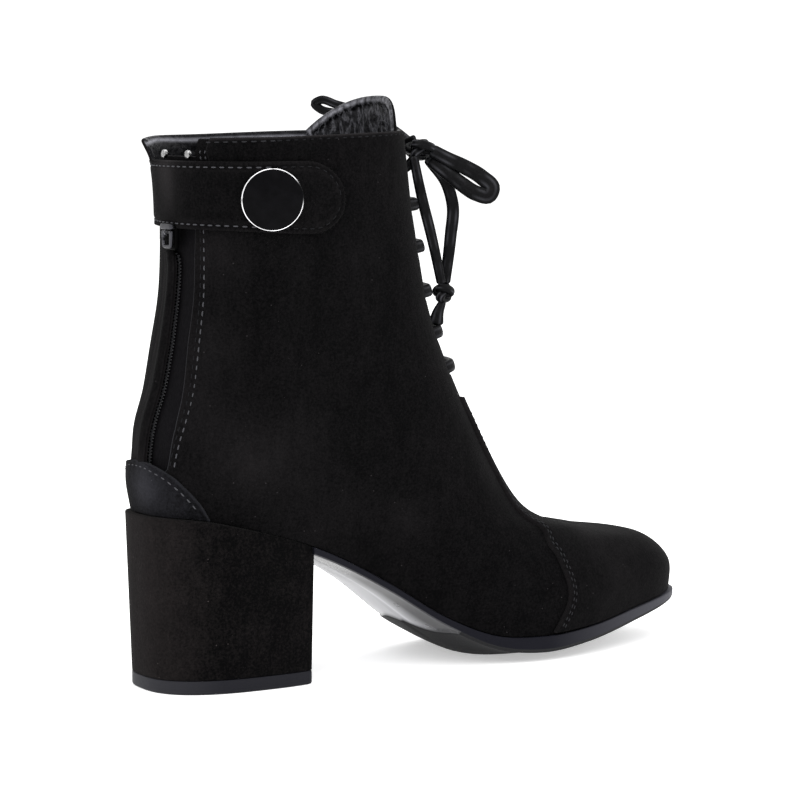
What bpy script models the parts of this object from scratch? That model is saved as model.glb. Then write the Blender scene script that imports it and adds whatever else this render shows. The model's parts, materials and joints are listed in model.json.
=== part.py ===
"""Black suede ankle boot for the right foot: block heel, back zip, button strap, front lacing.

Metres, +Z up, +X to the toe, +Y to the wearer's left. The origin lies on the floor under
the middle of the heel. All sizes below are in millimetres, and MM turns them into metres.
"""
from collections import namedtuple

import bmesh
import bpy
import numpy as np

MM = 0.001

# Sizes that pieces share
GAP = 0.3                # clearance between pieces that touch
WALL = 2.0               # suede and lining of the upper
OVERLAY = 1.0            # thickness of the sewn-on toe and counter pieces
OVERLAY_GAP = 0.55       # clearance of a curved overlay over the upper
SEAM_FOOT = 0.06         # row where overlays start, just above the sole

# The last: one row for each ring of the upper, from the feather line to the collar.
# Each ring runs from a back point to a front point. follow says how far the ring dips
# with the sole, fullness squares its ends, and the half widths stand at the heel, waist,
# ball and toe stations. swing bends the toe towards the wearer's left.
Section = namedtuple("Section", "back_x back_z front_x front_z follow fullness heel waist ball toe swing")
SECTIONS = {
    "feather":    Section(-27.5,  63.5, 199.0,  19.0, 1.00, 3.00, 25.5, 22.0, 34.0, 25.0, 5.0),
    "wall":       Section(-29.0,  74.5, 198.0,  31.0, 0.90, 3.00, 28.0, 25.5, 36.0, 26.5, 5.0),
    "toe_box":    Section(-28.5,  84.5, 186.0,  40.0, 0.65, 2.70, 29.5, 28.5, 35.0, 24.0, 4.5),
    "vamp":       Section(-27.5,  95.5, 162.0,  44.0, 0.40, 2.50, 29.5, 30.5, 33.5, 23.5, 3.0),
    "low_instep": Section(-23.5, 108.5, 129.0,  55.0, 0.20, 2.30, 29.5, 31.5, 33.0, 23.5, 1.5),
    "instep":     Section(-20.0, 124.5, 103.5,  93.5, 0.05, 2.20, 29.5, 32.5, 32.5, 24.0, 0.5),
    "throat":     Section(-16.0, 144.5,  87.0, 129.5, 0.00, 2.15, 30.5, 34.0, 33.0, 24.0, 0.0),
    "shaft":      Section(-14.5, 168.0,  79.5, 163.0, 0.00, 2.10, 31.5, 36.0, 34.0, 24.0, 0.0),
    "cuff":       Section(-15.5, 187.0,  76.5, 185.5, 0.00, 2.10, 32.5, 37.0, 34.5, 24.0, 0.0),
    "collar":     Section(-19.5, 196.5,  75.0, 199.5, 0.00, 2.10, 33.5, 37.5, 35.0, 24.0, 0.0),
}
STATIONS = (0.0, 0.14, 0.42, 0.68, 0.90, 1.0)
COLLAR_ROW = len(SECTIONS) - 1
SWING_START = 0.35       # share of the length where the toe starts to bend
SWING_POWER = 1.5

# The sole against share of length: height of the feather line, and how far the
# middle of the underside bulges below its edges
Profile = namedtuple("Profile", "share height crown")
PROFILE = (
    Profile(0.00, 63.5, 0.0),
    Profile(0.05, 62.5, 0.0),
    Profile(0.13, 58.5, 0.0),
    Profile(0.25, 50.0, 0.0),
    Profile(0.40, 33.0, 2.0),
    Profile(0.50, 19.0, 4.5),
    Profile(0.58, 11.5, 7.0),
    Profile(0.66, 10.0, 7.0),
    Profile(0.76, 11.5, 7.0),
    Profile(0.88, 15.5, 6.0),
    Profile(1.00, 19.0, 4.0),
)
SOLE_THICK = 3.0
SOLE_PROUD = 1.0         # how far the sole's edge stands out from the feather line
SOLE_TOE_PROUD = 3.5
TREAD_X = 88.0           # where the forefoot tread starts
TREAD_STEP = 1.0
TREAD_SLOPE = 0.5        # length of the step's slope
TREAD_EDGE = 0.85        # share of the half width that the tread covers
TOE_FADE = 14.0          # half width below which the underside's bulge fades to the toe

# Block heel: back, breast and half width at the floor and at the seat
HeelRow = namedtuple("HeelRow", "back_x breast_x half_width")
HEEL_FLOOR = HeelRow(-29.0, 28.5, 25.5)
HEEL_SEAT = HeelRow(-31.0, 29.0, 26.8)
HEEL_FULLNESS = 2.6
HEEL_ROUND = 20.0        # the plan's round form runs on past the breast by this much
LIFT_THICK = 5.0

INSOLE_THICK = 2.0
INSOLE_INSET = 3.4       # from the feather line

# Seams of the toe piece and the counter: row, and place around the ring
Seam = namedtuple("Seam", "row around")
TOE_SEAM = (Seam(0.0, 0.289), Seam(1.0, 0.296), Seam(2.0, 0.310), Seam(2.6, 0.324), Seam(3.1, 0.349),
            Seam(3.5, 0.375), Seam(3.9, 0.404), Seam(4.3, 0.424), Seam(4.8, 0.424), Seam(5.3, 0.416))
COUNTER_SEAM = (Seam(0.0, 0.104), Seam(0.55, 0.093), Seam(1.05, 0.075), Seam(1.5, 0.050),
                Seam(1.74, 0.023), Seam(1.82, 0.006))
TOE_PIECE_TOP = 5.15     # row where the toe piece ends under the throat

# Throat and lacing
THROAT_HALF = 9.0
THROAT_BOTTOM_Z = 108.0
LACE_ROWS_Z = (111.5, 124.5, 140.0, 156.5, 172.0)
LACE_HALF_SPAN = 18.0
LACE_WIDE = 4.8
LACE_THICK = 2.7
LACE_GAP = 0.6           # clearance of the bars over the upper
HOLE_Y = 17.0
HOLE_RADIUS = 1.8
TONGUE_GAP = 0.5
TONGUE_THICK = 1.8
TONGUE_TOP_ROW = 9.9
TONGUE_LOW_ROW = 4.7
TONGUE_HALF = (0.093, 0.150)     # share of the ring on each side of the front, at its foot and top
TONGUE_ROUND = 2.6       # power of its round top

# Back zip: an opening under the strap and a wider notch above it
ZIP_Y = -1.5
SLIT_NEAR_Y = (-15.0, -14.0)     # at its foot and under the strap
SLIT_FAR_Y = (0.8, 3.5)
SLIT_FOOT_Z = 78.0
SLIT_CORNER = (3.0, 2.0)         # cut off its near and far corner at the foot
NOTCH_HALF = (20.5, 24.5)        # at the strap's top edge and above the collar
NOTCH_SINK = 1.5                 # the notch starts this far under the strap's top edge
TAPE_GAP = 0.4
TAPE_THICK = 0.9
TAPE_BEND = 8.0          # from the chain to a bend that follows the round back
CHAIN_HALF = 2.0
CHAIN_SLOPE = 0.2
CHAIN_RISE = 2.1
TAPE_ROWS = (1.75, 8.2)
TAPE_NEAR_Y = -20.0
TAPE_FAR_Y = 9.5
STOP_Y = (6.0, -9.5)
STOP_Z = 190.2
STOP_SIZE = (2.0, 2.6, 3.0)
SLIDER_HALF = 4.4
SLIDER_Z = (157.2, 165.4)
SLIDER_X = (-16.9, -15.2)
PIVOT = (-17.9, ZIP_Y, 163.6)
PIN_RADIUS = 0.6
CROWN_HALF = 1.2
CROWN_HOLE = 1.0         # from the pivot up, down and out to the crown
CROWN_BAR = 0.85
CROWN_SINK = 0.5         # into the slider, so that the two join
PULL_THICK = 1.0
PULL_HALF = (4.3, 3.3)   # at its top and at its foot
PULL_TOP = 0.7           # above the pivot
PULL_FOOT = 5.8          # below the pivot
PULL_WINDOW = (2.4, 4.3)         # half width, and depth below the pivot

# Strap around the back, with a button on its near end
STRAP_Z = (166.0, 189.0)
STRAP_NEAR_END = 0.258
STRAP_FAR_END = 0.758
STRAP_ROUND = 0.040      # share of the ring that the round end takes
STRAP_TIP = 0.15         # share of its height that is flat at the round end
STRAP_THICK = 1.8
STRAP_GAP = 0.55         # clearance of the strap over the hollow of the shaft
BUTTON_AT = (0.156, 176.0)       # place around the ring, and height
BUTTON_RADIUS = 11.0
BUTTON_RIM = 1.0
BUTTON_HIGH = 1.7
RIM_CHAMFER = 0.4
CAP_SINK = 0.2           # edge of the cap below the rim's top
CAP_DOME = 1.0
Dome = namedtuple("Dome", "radius rise")         # shares of the cap's radius and of its dome
CAP_PROFILE = (Dome(0.72, 0.50), Dome(0.40, 0.85), Dome(0.0, 1.0))

# Bow: routes of the free lace, each as a short list of points
CORD_RADIUS = 1.7
CORD_STEP = 8.0
KNOT_CENTRE = (84.5, -10.0, 189.0)
KNOT_HALF = (4.6, 5.2, 4.2)
END_KNOT_CENTRE = (91.2, -13.5, 138.0)
END_KNOT_HALF = (3.4, 3.6, 4.0)
CORD_ROUTES = {
    "bow_loop_near": ((88.0, -14.2, 190.9), (93.5, -19.5, 189.6), (100.0, -24.0, 185.4),
                      (104.6, -27.6, 179.4), (103.4, -27.2, 174.8), (98.6, -24.2, 176.6),
                      (93.6, -20.2, 180.4), (88.5, -15.2, 185.3)),
    "bow_loop_far": ((83.3, -5.1, 191.3), (83.5, 12.0, 199.0), (80.5, 32.0, 206.5),
                     (75.5, 46.0, 209.2), (73.0, 49.5, 205.2), (76.0, 42.0, 200.4),
                     (80.5, 25.0, 193.6), (83.5, 8.0, 187.6), (84.1, -4.7, 186.5)),
    "lace_end_1": ((81.2, -12.5, 185.4), (80.3, -15.3, 171.5), (85.0, -15.6, 158.6),
                   (88.0, -15.2, 150.0), (89.6, -14.6, 141.9)),
    "lace_end_2": ((87.5, -11.8, 185.5), (93.8, -13.6, 174.0), (94.8, -13.8, 163.5),
                   (94.2, -12.8, 152.0), (93.0, -12.4, 141.9)),
    "lace_tail": ((90.6, -13.6, 133.9), (89.8, -13.8, 129.2)),
}

# Reach of the shapes that cut the upper: above the collar, through the front and the back
CUT_HIGH_Z = 230.0
CUT_FRONT_X = (50.0, 150.0)
CUT_BACK_X = (-60.0, 12.0)

# Facets
SHARP_ANGLE = 35.0       # degrees between faces above which an edge stays sharp
SHAFT_ROW = 6.5          # a row well inside the shaft, where searches start
RING_FACETS = 54
UPPER_ROWS = (0.0, 0.3, 0.7, 1.1, 1.55, 2.0, 2.5, 2.8, 3.1, 3.4, 3.7, 4.0, 4.3, 4.65, 5.0,
              5.5, 6.0, 6.5, 7.0, 7.5, 8.0, 8.5, 9.0)
COUNTER_ROWS = (SEAM_FOOT, 0.35, 0.7, 1.0, 1.3, 1.55, 1.7, 1.82)
SOLE_ACROSS = (-1.0, -0.92, -0.8, -0.5, -0.2, 0.2, 0.5, 0.8, 0.92, 1.0)      # shares of the half width
BAR_ACROSS = (-1.0, -0.96, -0.7, -0.4, 0.0, 0.4, 0.7, 0.96, 1.0)             # shares of the half span
BAR_TIP = 0.5            # size of a lace bar's ends against its middle


def smooth(knots, values, at):
    """Cubic through values, along their last axis, with each slope set by its neighbours.

    Past either end it runs on straight.
    """
    knots, values, at = (np.asarray(item, float) for item in (knots, values, at))
    past = at - np.clip(at, knots[0], knots[-1])
    at = at - past
    step = np.diff(knots)
    rise = np.diff(values) / step
    inner = (rise[..., 1:] * step[:-1] + rise[..., :-1] * step[1:]) / (step[:-1] + step[1:])
    slope = np.concatenate([rise[..., :1], inner, rise[..., -1:]], axis=-1)
    cell = np.clip(np.searchsorted(knots, at, side="right") - 1, 0, len(knots) - 2)

    def pick(rows, index):
        rows = np.broadcast_to(rows, at.shape + rows.shape[-1:])
        return np.take_along_axis(rows, index[..., None], axis=-1)[..., 0]

    width = step[cell]
    s = (at - knots[cell]) / width
    start, stop = pick(values, cell), pick(values, cell + 1)
    leave, arrive = pick(slope, cell) * width, pick(slope, cell + 1) * width
    inside = (start * (2 * s**3 - 3 * s**2 + 1) + leave * (s**3 - 2 * s**2 + s)
              + stop * (3 * s**2 - 2 * s**3) + arrive * (s**3 - s**2))
    return inside + past * np.where(past > 0, slope[..., -1], slope[..., 0])


def column(rows, name):
    """One named column of a table."""
    return [getattr(row, name) for row in rows]


def section_at(row):
    """The last's section at any row between two rows of the table."""
    rows = list(SECTIONS.values())
    numbers = range(len(rows))
    return Section(*(smooth(numbers, column(rows, name), row) for name in Section._fields))


def feather_height(share):
    """Height of the feather line at a share of the length."""
    return smooth(column(PROFILE, "share"), column(PROFILE, "height"), share)


def half_width(section, share):
    """Half width without the round ends: a smooth line through the four stations."""
    stations = np.array(STATIONS[1:-1])
    fullness = np.asarray(section.fullness)[..., None]
    ends = (1 - np.abs(1 - 2 * stations) ** fullness) ** (1 / fullness)
    widths = np.stack([section.heel, section.waist, section.ball, section.toe], axis=-1) / ends
    widths = np.concatenate([widths[..., :1], widths, widths[..., -1:]], axis=-1)
    return smooth(STATIONS, widths, share)


def middle_y(section, share):
    """Sideways place of the ring's middle, bent towards the toe."""
    return section.swing * np.clip((share - SWING_START) / (1 - SWING_START), 0, 1) ** SWING_POWER


def surface(around, row):
    """Point of the upper: around runs 0 to 1 from the centre back by the outer side."""
    around, row = np.broadcast_arrays(np.asarray(around, float), np.asarray(row, float))
    section = section_at(row)
    cosine, sine = np.cos(2 * np.pi * around), np.sin(2 * np.pi * around)
    power = 2 / section.fullness
    share = (1 - np.sign(cosine) * np.abs(cosine) ** power) / 2
    chord = PROFILE[0].height + (PROFILE[-1].height - PROFILE[0].height) * share
    x = section.back_x + (section.front_x - section.back_x) * share
    y = middle_y(section, share) - np.sign(sine) * half_width(section, share) * np.abs(sine) ** power
    z = section.back_z + (section.front_z - section.back_z) * share
    z = z + section.follow * (feather_height(share) - chord)
    return np.stack([x, y, z], axis=-1)


def skin(around, row, out):
    """Point of the upper moved out along the normal, or in where out is below zero."""
    around, row = np.broadcast_arrays(np.asarray(around, float), np.asarray(row, float))
    small_turn, small_row = 0.002, 0.02
    along = surface(around + small_turn, row) - surface(around - small_turn, row)
    rising = surface(around, row + small_row) - surface(around, row - small_row)
    normal = np.cross(along, rising)
    normal /= np.linalg.norm(normal, axis=-1, keepdims=True)
    return surface(around, row) + normal * np.asarray(out, float)[..., None]


def row_at_height(around, height):
    """Row of the shaft where the upper reaches a height, by a few Newton steps."""
    around, height = np.broadcast_arrays(np.asarray(around, float), np.asarray(height, float))
    row = np.full(around.shape, SHAFT_ROW)
    small_row = 0.01
    for _ in range(12):
        here = surface(around, row)[..., 2]
        slope = (surface(around, row + small_row)[..., 2] - here) / small_row
        row = row + (height - here) / slope
    return row


def around_at_y(y, row, back):
    """Place around the ring, near the centre back or centre front, with a sideways distance y."""
    y, row = np.broadcast_arrays(np.asarray(y, float), np.asarray(row, float))
    centre, sign = (0.0, -1.0) if back else (0.5, 1.0)
    reach = 0.2
    low, high = np.full(y.shape, -reach), np.full(y.shape, reach)
    for _ in range(40):
        middle = (low + high) / 2
        below = surface(centre + middle, row)[..., 1] * sign < y * sign
        low, high = np.where(below, middle, low), np.where(below, high, middle)
    return centre + (low + high) / 2


def material(name, colour, roughness, metallic=0.0):
    """A Principled material with plain values."""
    item = bpy.data.materials.new(name)
    item.use_nodes = True
    shader = item.node_tree.nodes["Principled BSDF"]
    shader.inputs["Base Color"].default_value = (*colour, 1.0)
    shader.inputs["Roughness"].default_value = roughness
    shader.inputs["Metallic"].default_value = metallic
    return item


def add_object(name, mesh, finish):
    """Link a mesh, shaded smooth over its round faces, as a named object."""
    mesh.materials.append(finish)
    mesh.shade_smooth()
    mesh.set_sharp_from_angle(angle=np.radians(SHARP_ANGLE))
    item = bpy.data.objects.new(name, mesh)
    bpy.context.scene.collection.objects.link(item)
    return item


def mesh_from(name, points, faces):
    """Closed mesh in metres: doubles merged, cut into triangles, faces turned out."""
    mesh = bpy.data.meshes.new(name)
    mesh.from_pydata((np.asarray(points, float) * MM).tolist(), [], faces)
    work = bmesh.new()
    work.from_mesh(mesh)
    bmesh.ops.remove_doubles(work, verts=work.verts, dist=1e-6)
    bmesh.ops.triangulate(work, faces=work.faces)
    bmesh.ops.recalc_face_normals(work, faces=work.faces)
    work.to_mesh(mesh)
    work.free()
    return mesh


def slab(name, first, second, finish, ring=False):
    """Solid between two grids of points, closed along the grids' edges.

    With ring set, the grids close on themselves along their second axis.
    """
    rows, columns = first.shape[:2]
    points = np.concatenate([first.reshape(-1, 3), second.reshape(-1, 3)])
    offset = rows * columns

    def index(side, i, j):
        return side * offset + i * columns + j % columns

    faces = []
    spans = columns if ring else columns - 1
    for i in range(rows - 1):
        for j in range(spans):
            faces.append((index(0, i, j), index(0, i, j + 1), index(0, i + 1, j + 1), index(0, i + 1, j)))
            faces.append((index(1, i, j), index(1, i + 1, j), index(1, i + 1, j + 1), index(1, i, j + 1)))
    for j in range(spans):
        for i in (0, rows - 1):
            faces.append((index(0, i, j), index(1, i, j), index(1, i, j + 1), index(0, i, j + 1)))
    if not ring:
        for i in range(rows - 1):
            for j in (0, columns - 1):
                faces.append((index(0, i, j), index(0, i + 1, j), index(1, i + 1, j), index(1, i, j)))
    return add_object(name, mesh_from(name, points, faces), finish)


def prism(outline, axis_from, axis_to):
    """Points and faces of an outline in Y and Z, carried along X."""
    count = len(outline)
    points = [(x, y, z) for x in (axis_from, axis_to) for y, z in outline]
    faces = [tuple(range(count)), tuple(range(2 * count - 1, count - 1, -1))]
    faces += [(i, i + count, (i + 1) % count + count, (i + 1) % count) for i in range(count)]
    return points, faces


def box(x_range, y_range, z_range):
    """Points and faces of a plain block."""
    outline = [(y_range[0], z_range[0]), (y_range[1], z_range[0]),
               (y_range[1], z_range[1]), (y_range[0], z_range[1])]
    return prism(outline, *x_range)


def apply_boolean(target, shapes, operation):
    """Cut shapes out of an object, or join them to it, one after the other."""
    for number, (points, faces) in enumerate(shapes):
        name = f"{target.name}_tool_{number}"
        tool = bpy.data.objects.new(name, mesh_from(name, points, faces))
        bpy.context.scene.collection.objects.link(tool)
        change = target.modifiers.new(name, "BOOLEAN")
        change.operation = operation
        change.solver = "EXACT"
        change.object = tool
        bpy.context.view_layer.update()
        evaluated = target.evaluated_get(bpy.context.evaluated_depsgraph_get())
        mesh = bpy.data.meshes.new_from_object(evaluated)
        target.modifiers.clear()
        target.data = mesh
        bpy.data.objects.remove(tool)


def plan_grid(section, shares, across, inset=0.0):
    """Plan of the last as a grid: shares of the length, and shares of the half width."""
    share, side = np.meshgrid(shares, across, indexing="ij")
    fullness = section.fullness
    ends = np.clip(1 - np.abs(1 - 2 * share) ** fullness, 0, None) ** (1 / fullness)
    wide = np.clip(half_width(section, share) * ends - inset, 0, None)
    x = section.back_x + (section.front_x - section.back_x) * share
    y = middle_y(section, share) + side * wide
    return x, y, share, side


def make_upper(finish):
    """Hollow upper: the last's rings as outer wall, the same rings moved in as inner wall."""
    around, row = np.meshgrid(np.arange(RING_FACETS) / RING_FACETS, UPPER_ROWS)
    upper = slab("upper", skin(around, row, 0.0), skin(around, row, -WALL), finish, ring=True)
    round_bottom = [(THROAT_HALF * np.cos(turn), THROAT_BOTTOM_Z + THROAT_HALF * (1 + np.sin(turn)))
                    for turn in np.linspace(-np.pi, 0, 9)]
    throat = prism(round_bottom + [(THROAT_HALF, CUT_HIGH_Z), (-THROAT_HALF, CUT_HIGH_Z)], *CUT_FRONT_X)
    near_corner, far_corner = SLIT_CORNER
    notch_z = STRAP_Z[1] - NOTCH_SINK
    slit = prism([(SLIT_NEAR_Y[0], SLIT_FOOT_Z + near_corner), (SLIT_NEAR_Y[0] + near_corner, SLIT_FOOT_Z),
                  (SLIT_FAR_Y[0] - far_corner, SLIT_FOOT_Z), (SLIT_FAR_Y[0], SLIT_FOOT_Z + far_corner),
                  (SLIT_FAR_Y[1], STRAP_Z[0]), (NOTCH_HALF[0], notch_z),
                  (NOTCH_HALF[1], CUT_HIGH_Z), (-NOTCH_HALF[1], CUT_HIGH_Z),
                  (-NOTCH_HALF[0], notch_z), (SLIT_NEAR_Y[1], STRAP_Z[0])], *CUT_BACK_X)
    apply_boolean(upper, [throat, slit], "DIFFERENCE")
    turn = np.linspace(0, 2 * np.pi, 8, endpoint=False)
    for height in LACE_ROWS_Z:
        for side in (-1, 1):
            outline = zip(side * HOLE_Y + HOLE_RADIUS * np.cos(turn), height + HOLE_RADIUS * np.sin(turn))
            apply_boolean(upper, [prism(list(outline), *CUT_FRONT_X)], "DIFFERENCE")
    return upper


def make_toe_piece(finish):
    """Toe piece: from seam to seam over the front, up to a narrow strip under the throat."""
    between = [row for row in UPPER_ROWS if SEAM_FOOT < row < TOE_PIECE_TOP]
    rows = np.array([SEAM_FOOT, *between, TOE_PIECE_TOP])
    seam = smooth(column(TOE_SEAM, "row"), column(TOE_SEAM, "around"), rows)
    across = np.linspace(-1, 1, 23)
    around = 0.5 + across[None, :] * (0.5 - seam[:, None])
    row = np.broadcast_to(rows[:, None], around.shape)
    return slab("toe_piece", skin(around, row, OVERLAY_GAP + OVERLAY), skin(around, row, OVERLAY_GAP), finish)


def make_counter(finish):
    """Counter: low at the sides of the heel, up to a round point at the centre back."""
    rows = np.array(COUNTER_ROWS)
    seam = smooth(column(COUNTER_SEAM, "row"), column(COUNTER_SEAM, "around"), rows)
    around = np.linspace(-1, 1, 13)[None, :] * seam[:, None]
    row = np.broadcast_to(rows[:, None], around.shape)
    return slab("counter", skin(around, row, OVERLAY_GAP + OVERLAY), skin(around, row, OVERLAY_GAP), finish)


def make_tongue(finish):
    """Tongue: a curved sheet inside the throat, with a round top above the collar."""
    across = np.linspace(-1, 1, 13)
    share = np.linspace(0, 1, 11)
    top = COLLAR_ROW + (TONGUE_TOP_ROW - COLLAR_ROW) * (1 - np.abs(across) ** TONGUE_ROUND)
    row = TONGUE_LOW_ROW + (top[None, :] - TONGUE_LOW_ROW) * share[:, None]
    half = TONGUE_HALF[0] + (TONGUE_HALF[1] - TONGUE_HALF[0]) * share[:, None]
    around = 0.5 + across[None, :] * half
    depth = WALL + TONGUE_GAP
    return slab("tongue", skin(around, row, -depth), skin(around, row, -depth - TONGUE_THICK), finish)


def make_insole(finish):
    """Insole: the feather line's plan, inset from the wall, on the sole and the heel seat."""
    feather = SECTIONS["feather"]
    section = feather._replace(back_x=feather.back_x + INSOLE_INSET, front_x=feather.front_x - INSOLE_INSET)
    shares = (1 - np.cos(np.linspace(0, np.pi, 23))) / 2
    x, y, _, _ = plan_grid(section, shares, np.linspace(-1, 1, 3), inset=INSOLE_INSET)
    height = feather_height((x - feather.back_x) / (feather.front_x - feather.back_x)) + GAP
    top = np.stack([x, y, height + INSOLE_THICK], axis=-1)
    bottom = np.stack([x, y, height], axis=-1)
    return slab("insole", top, bottom, finish)


def make_outsole(finish):
    """Outsole from the heel's breast to the toe: thin edge, bulging underside, stepped tread."""
    feather = SECTIONS["feather"]
    section = feather._replace(back_x=feather.back_x - SOLE_PROUD, front_x=feather.front_x + SOLE_TOE_PROUD,
                               heel=feather.heel + SOLE_PROUD, waist=feather.waist + SOLE_PROUD,
                               ball=feather.ball + SOLE_PROUD, toe=feather.toe + SOLE_PROUD)
    length = section.front_x - section.back_x
    breast = (HEEL_SEAT.breast_x + GAP - section.back_x) / length
    tread = (TREAD_X - section.back_x) / length
    shank = np.linspace(breast, tread - TREAD_SLOPE / length, 7)
    forefoot = tread + (1 - tread) * np.sin(np.linspace(0, np.pi / 2, 15))
    x, y, share, side = plan_grid(section, np.concatenate([shank, forefoot]), np.array(SOLE_ACROSS))
    along = np.clip((x - feather.back_x) / (feather.front_x - feather.back_x), 0, 1)
    top_z = feather_height(along) - GAP
    crown = smooth(column(PROFILE, "share"), column(PROFILE, "crown"), along) * (1 - side**2)
    tread_step = np.where((share >= tread) & (np.abs(side) < TREAD_EDGE), TREAD_STEP, 0.0)
    wide = (y[:, -1:] - y[:, :1]) / 2
    bulge = (crown + tread_step) * np.clip(wide / TOE_FADE, 0, 1)
    bottom_z = np.maximum(top_z - SOLE_THICK - bulge, 0.0)
    return slab("outsole", np.stack([x, y, top_z], axis=-1), np.stack([x, y, bottom_z], axis=-1), finish)


def heel_grid(row, across):
    """Plan of the heel: a squared oval cut off flat at the breast."""
    length = row.breast_x + HEEL_ROUND - row.back_x
    cut = (row.breast_x - row.back_x) / length
    share, side = np.meshgrid(cut * (1 - np.cos(np.linspace(0, np.pi / 2, 13))), across, indexing="ij")
    wide = row.half_width * (1 - np.abs(1 - 2 * share) ** HEEL_FULLNESS) ** (1 / HEEL_FULLNESS)
    return row.back_x + length * share, side * wide


def make_heel(finish, lift_finish):
    """Block heel with its top lift on the floor."""
    across = np.linspace(-1, 1, 3)
    feather = SECTIONS["feather"]
    seat_x, seat_y = heel_grid(HEEL_SEAT, across)
    share = np.clip((seat_x - feather.back_x) / (feather.front_x - feather.back_x), 0, 1)
    seat = np.stack([seat_x, seat_y, feather_height(share) - GAP], axis=-1)
    floor_x, floor_y = heel_grid(HEEL_FLOOR, across)
    foot = np.stack([floor_x, floor_y, np.full(floor_x.shape, LIFT_THICK + GAP)], axis=-1)
    slab("heel_block", seat, foot, finish)
    lift_top = np.stack([floor_x, floor_y, np.full(floor_x.shape, LIFT_THICK)], axis=-1)
    lift_foot = np.stack([floor_x, floor_y, np.zeros(floor_x.shape)], axis=-1)
    slab("heel_top_lift", lift_top, lift_foot, lift_finish)


def make_strap(finish):
    """Strap around the back between two heights, round at its near end."""
    turn = np.linspace(0, np.pi / 2, 7)[:-1]
    round_end = STRAP_NEAR_END - STRAP_ROUND * (1 - np.sin(np.pi / 2 - turn))
    near = np.linspace(STRAP_NEAR_END - STRAP_ROUND, 0.0, 11)
    far = np.linspace(0.0, STRAP_FAR_END - 1.0, 12)[1:]
    around = np.concatenate([round_end, near, far])
    reach = np.concatenate([np.maximum(np.sin(turn), STRAP_TIP), np.ones(near.size + far.size)])
    middle, half = np.mean(STRAP_Z), (STRAP_Z[1] - STRAP_Z[0]) / 2
    height = middle + half * np.linspace(-1, 1, 5)[:, None] * reach[None, :]
    around = np.broadcast_to(around, height.shape)
    row = row_at_height(around, height)
    return slab("strap", skin(around, row, STRAP_GAP + STRAP_THICK), skin(around, row, STRAP_GAP), finish)


def turned(name, profile, centre, axis, finish, facets=28):
    """Solid of revolution: a closed profile of radius and height about an axis."""
    axis = axis / np.linalg.norm(axis)
    first = np.cross(axis, (0.0, 0.0, 1.0))
    first /= np.linalg.norm(first)
    second = np.cross(axis, first)
    turn = np.linspace(0, 2 * np.pi, facets, endpoint=False)[:, None, None]
    radius, height = np.array(profile, float).T
    points = (centre + radius[None, :, None] * (np.cos(turn) * first + np.sin(turn) * second)
              + height[None, :, None] * axis)
    count = len(profile)
    faces = [(i * count + j, i * count + (j + 1) % count,
              (i + 1) % facets * count + (j + 1) % count, (i + 1) % facets * count + j)
             for i in range(facets) for j in range(count)]
    return add_object(name, mesh_from(name, points.reshape(-1, 3), faces), finish)


def make_button(rim_finish, cap_finish):
    """Button on the strap: a thin metal rim around a plain domed cap."""
    around, height = BUTTON_AT
    row = row_at_height(around, height)
    base = skin(around, row, STRAP_GAP + STRAP_THICK + GAP)
    axis = skin(around, row, 1.0) - skin(around, row, 0.0)
    inside = BUTTON_RADIUS - BUTTON_RIM
    rim = [(inside, 0.0), (BUTTON_RADIUS, 0.0), (BUTTON_RADIUS, BUTTON_HIGH - RIM_CHAMFER),
           (BUTTON_RADIUS - RIM_CHAMFER, BUTTON_HIGH), (inside, BUTTON_HIGH)]
    turned("button_rim", rim, base, axis, rim_finish)
    edge = inside - GAP
    cap = [(0.0, 0.0), (edge, 0.0), (edge, BUTTON_HIGH - CAP_SINK)]
    cap += [(edge * step.radius, BUTTON_HIGH + CAP_DOME * step.rise) for step in CAP_PROFILE]
    turned("button_cap", cap, base, axis, cap_finish)


def make_zip(tape_finish, metal_finish):
    """Zip tape with its raised chain, two top stops, the slider and its pull tab."""
    rows = np.linspace(*TAPE_ROWS, 11)
    foot = CHAIN_HALF + CHAIN_SLOPE
    side_y = np.array([TAPE_NEAR_Y, ZIP_Y - TAPE_BEND, ZIP_Y - foot, ZIP_Y - CHAIN_HALF,
                       ZIP_Y + CHAIN_HALF, ZIP_Y + foot, TAPE_FAR_Y])
    rise = np.array([0, 0, 0, CHAIN_RISE, CHAIN_RISE, 0, 0])
    row, y = np.meshgrid(rows, side_y, indexing="ij")
    around = around_at_y(y, row, back=True)
    depth = WALL + TAPE_GAP
    chain = np.where(rows < rows[-2], 1.0, 0.0)[:, None] * rise[None, :]
    slab("zip_tape", skin(around, row, chain - depth), skin(around, row, -depth - TAPE_THICK), tape_finish)
    for name, y in zip(("zip_stop_far", "zip_stop_near"), STOP_Y):
        row = row_at_height(around_at_y(y, TAPE_ROWS[1], back=True), STOP_Z)
        centre = skin(around_at_y(y, row, back=True), row, -depth)
        lower = centre + (-STOP_SIZE[0] - GAP, -STOP_SIZE[1] / 2, -STOP_SIZE[2] / 2)
        upper = centre + (-GAP, STOP_SIZE[1] / 2, STOP_SIZE[2] / 2)
        points, faces = box(*zip(lower, upper))
        add_object(name, mesh_from(name, points, faces), metal_finish)
    make_slider(metal_finish)
    make_pull(metal_finish)


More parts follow.
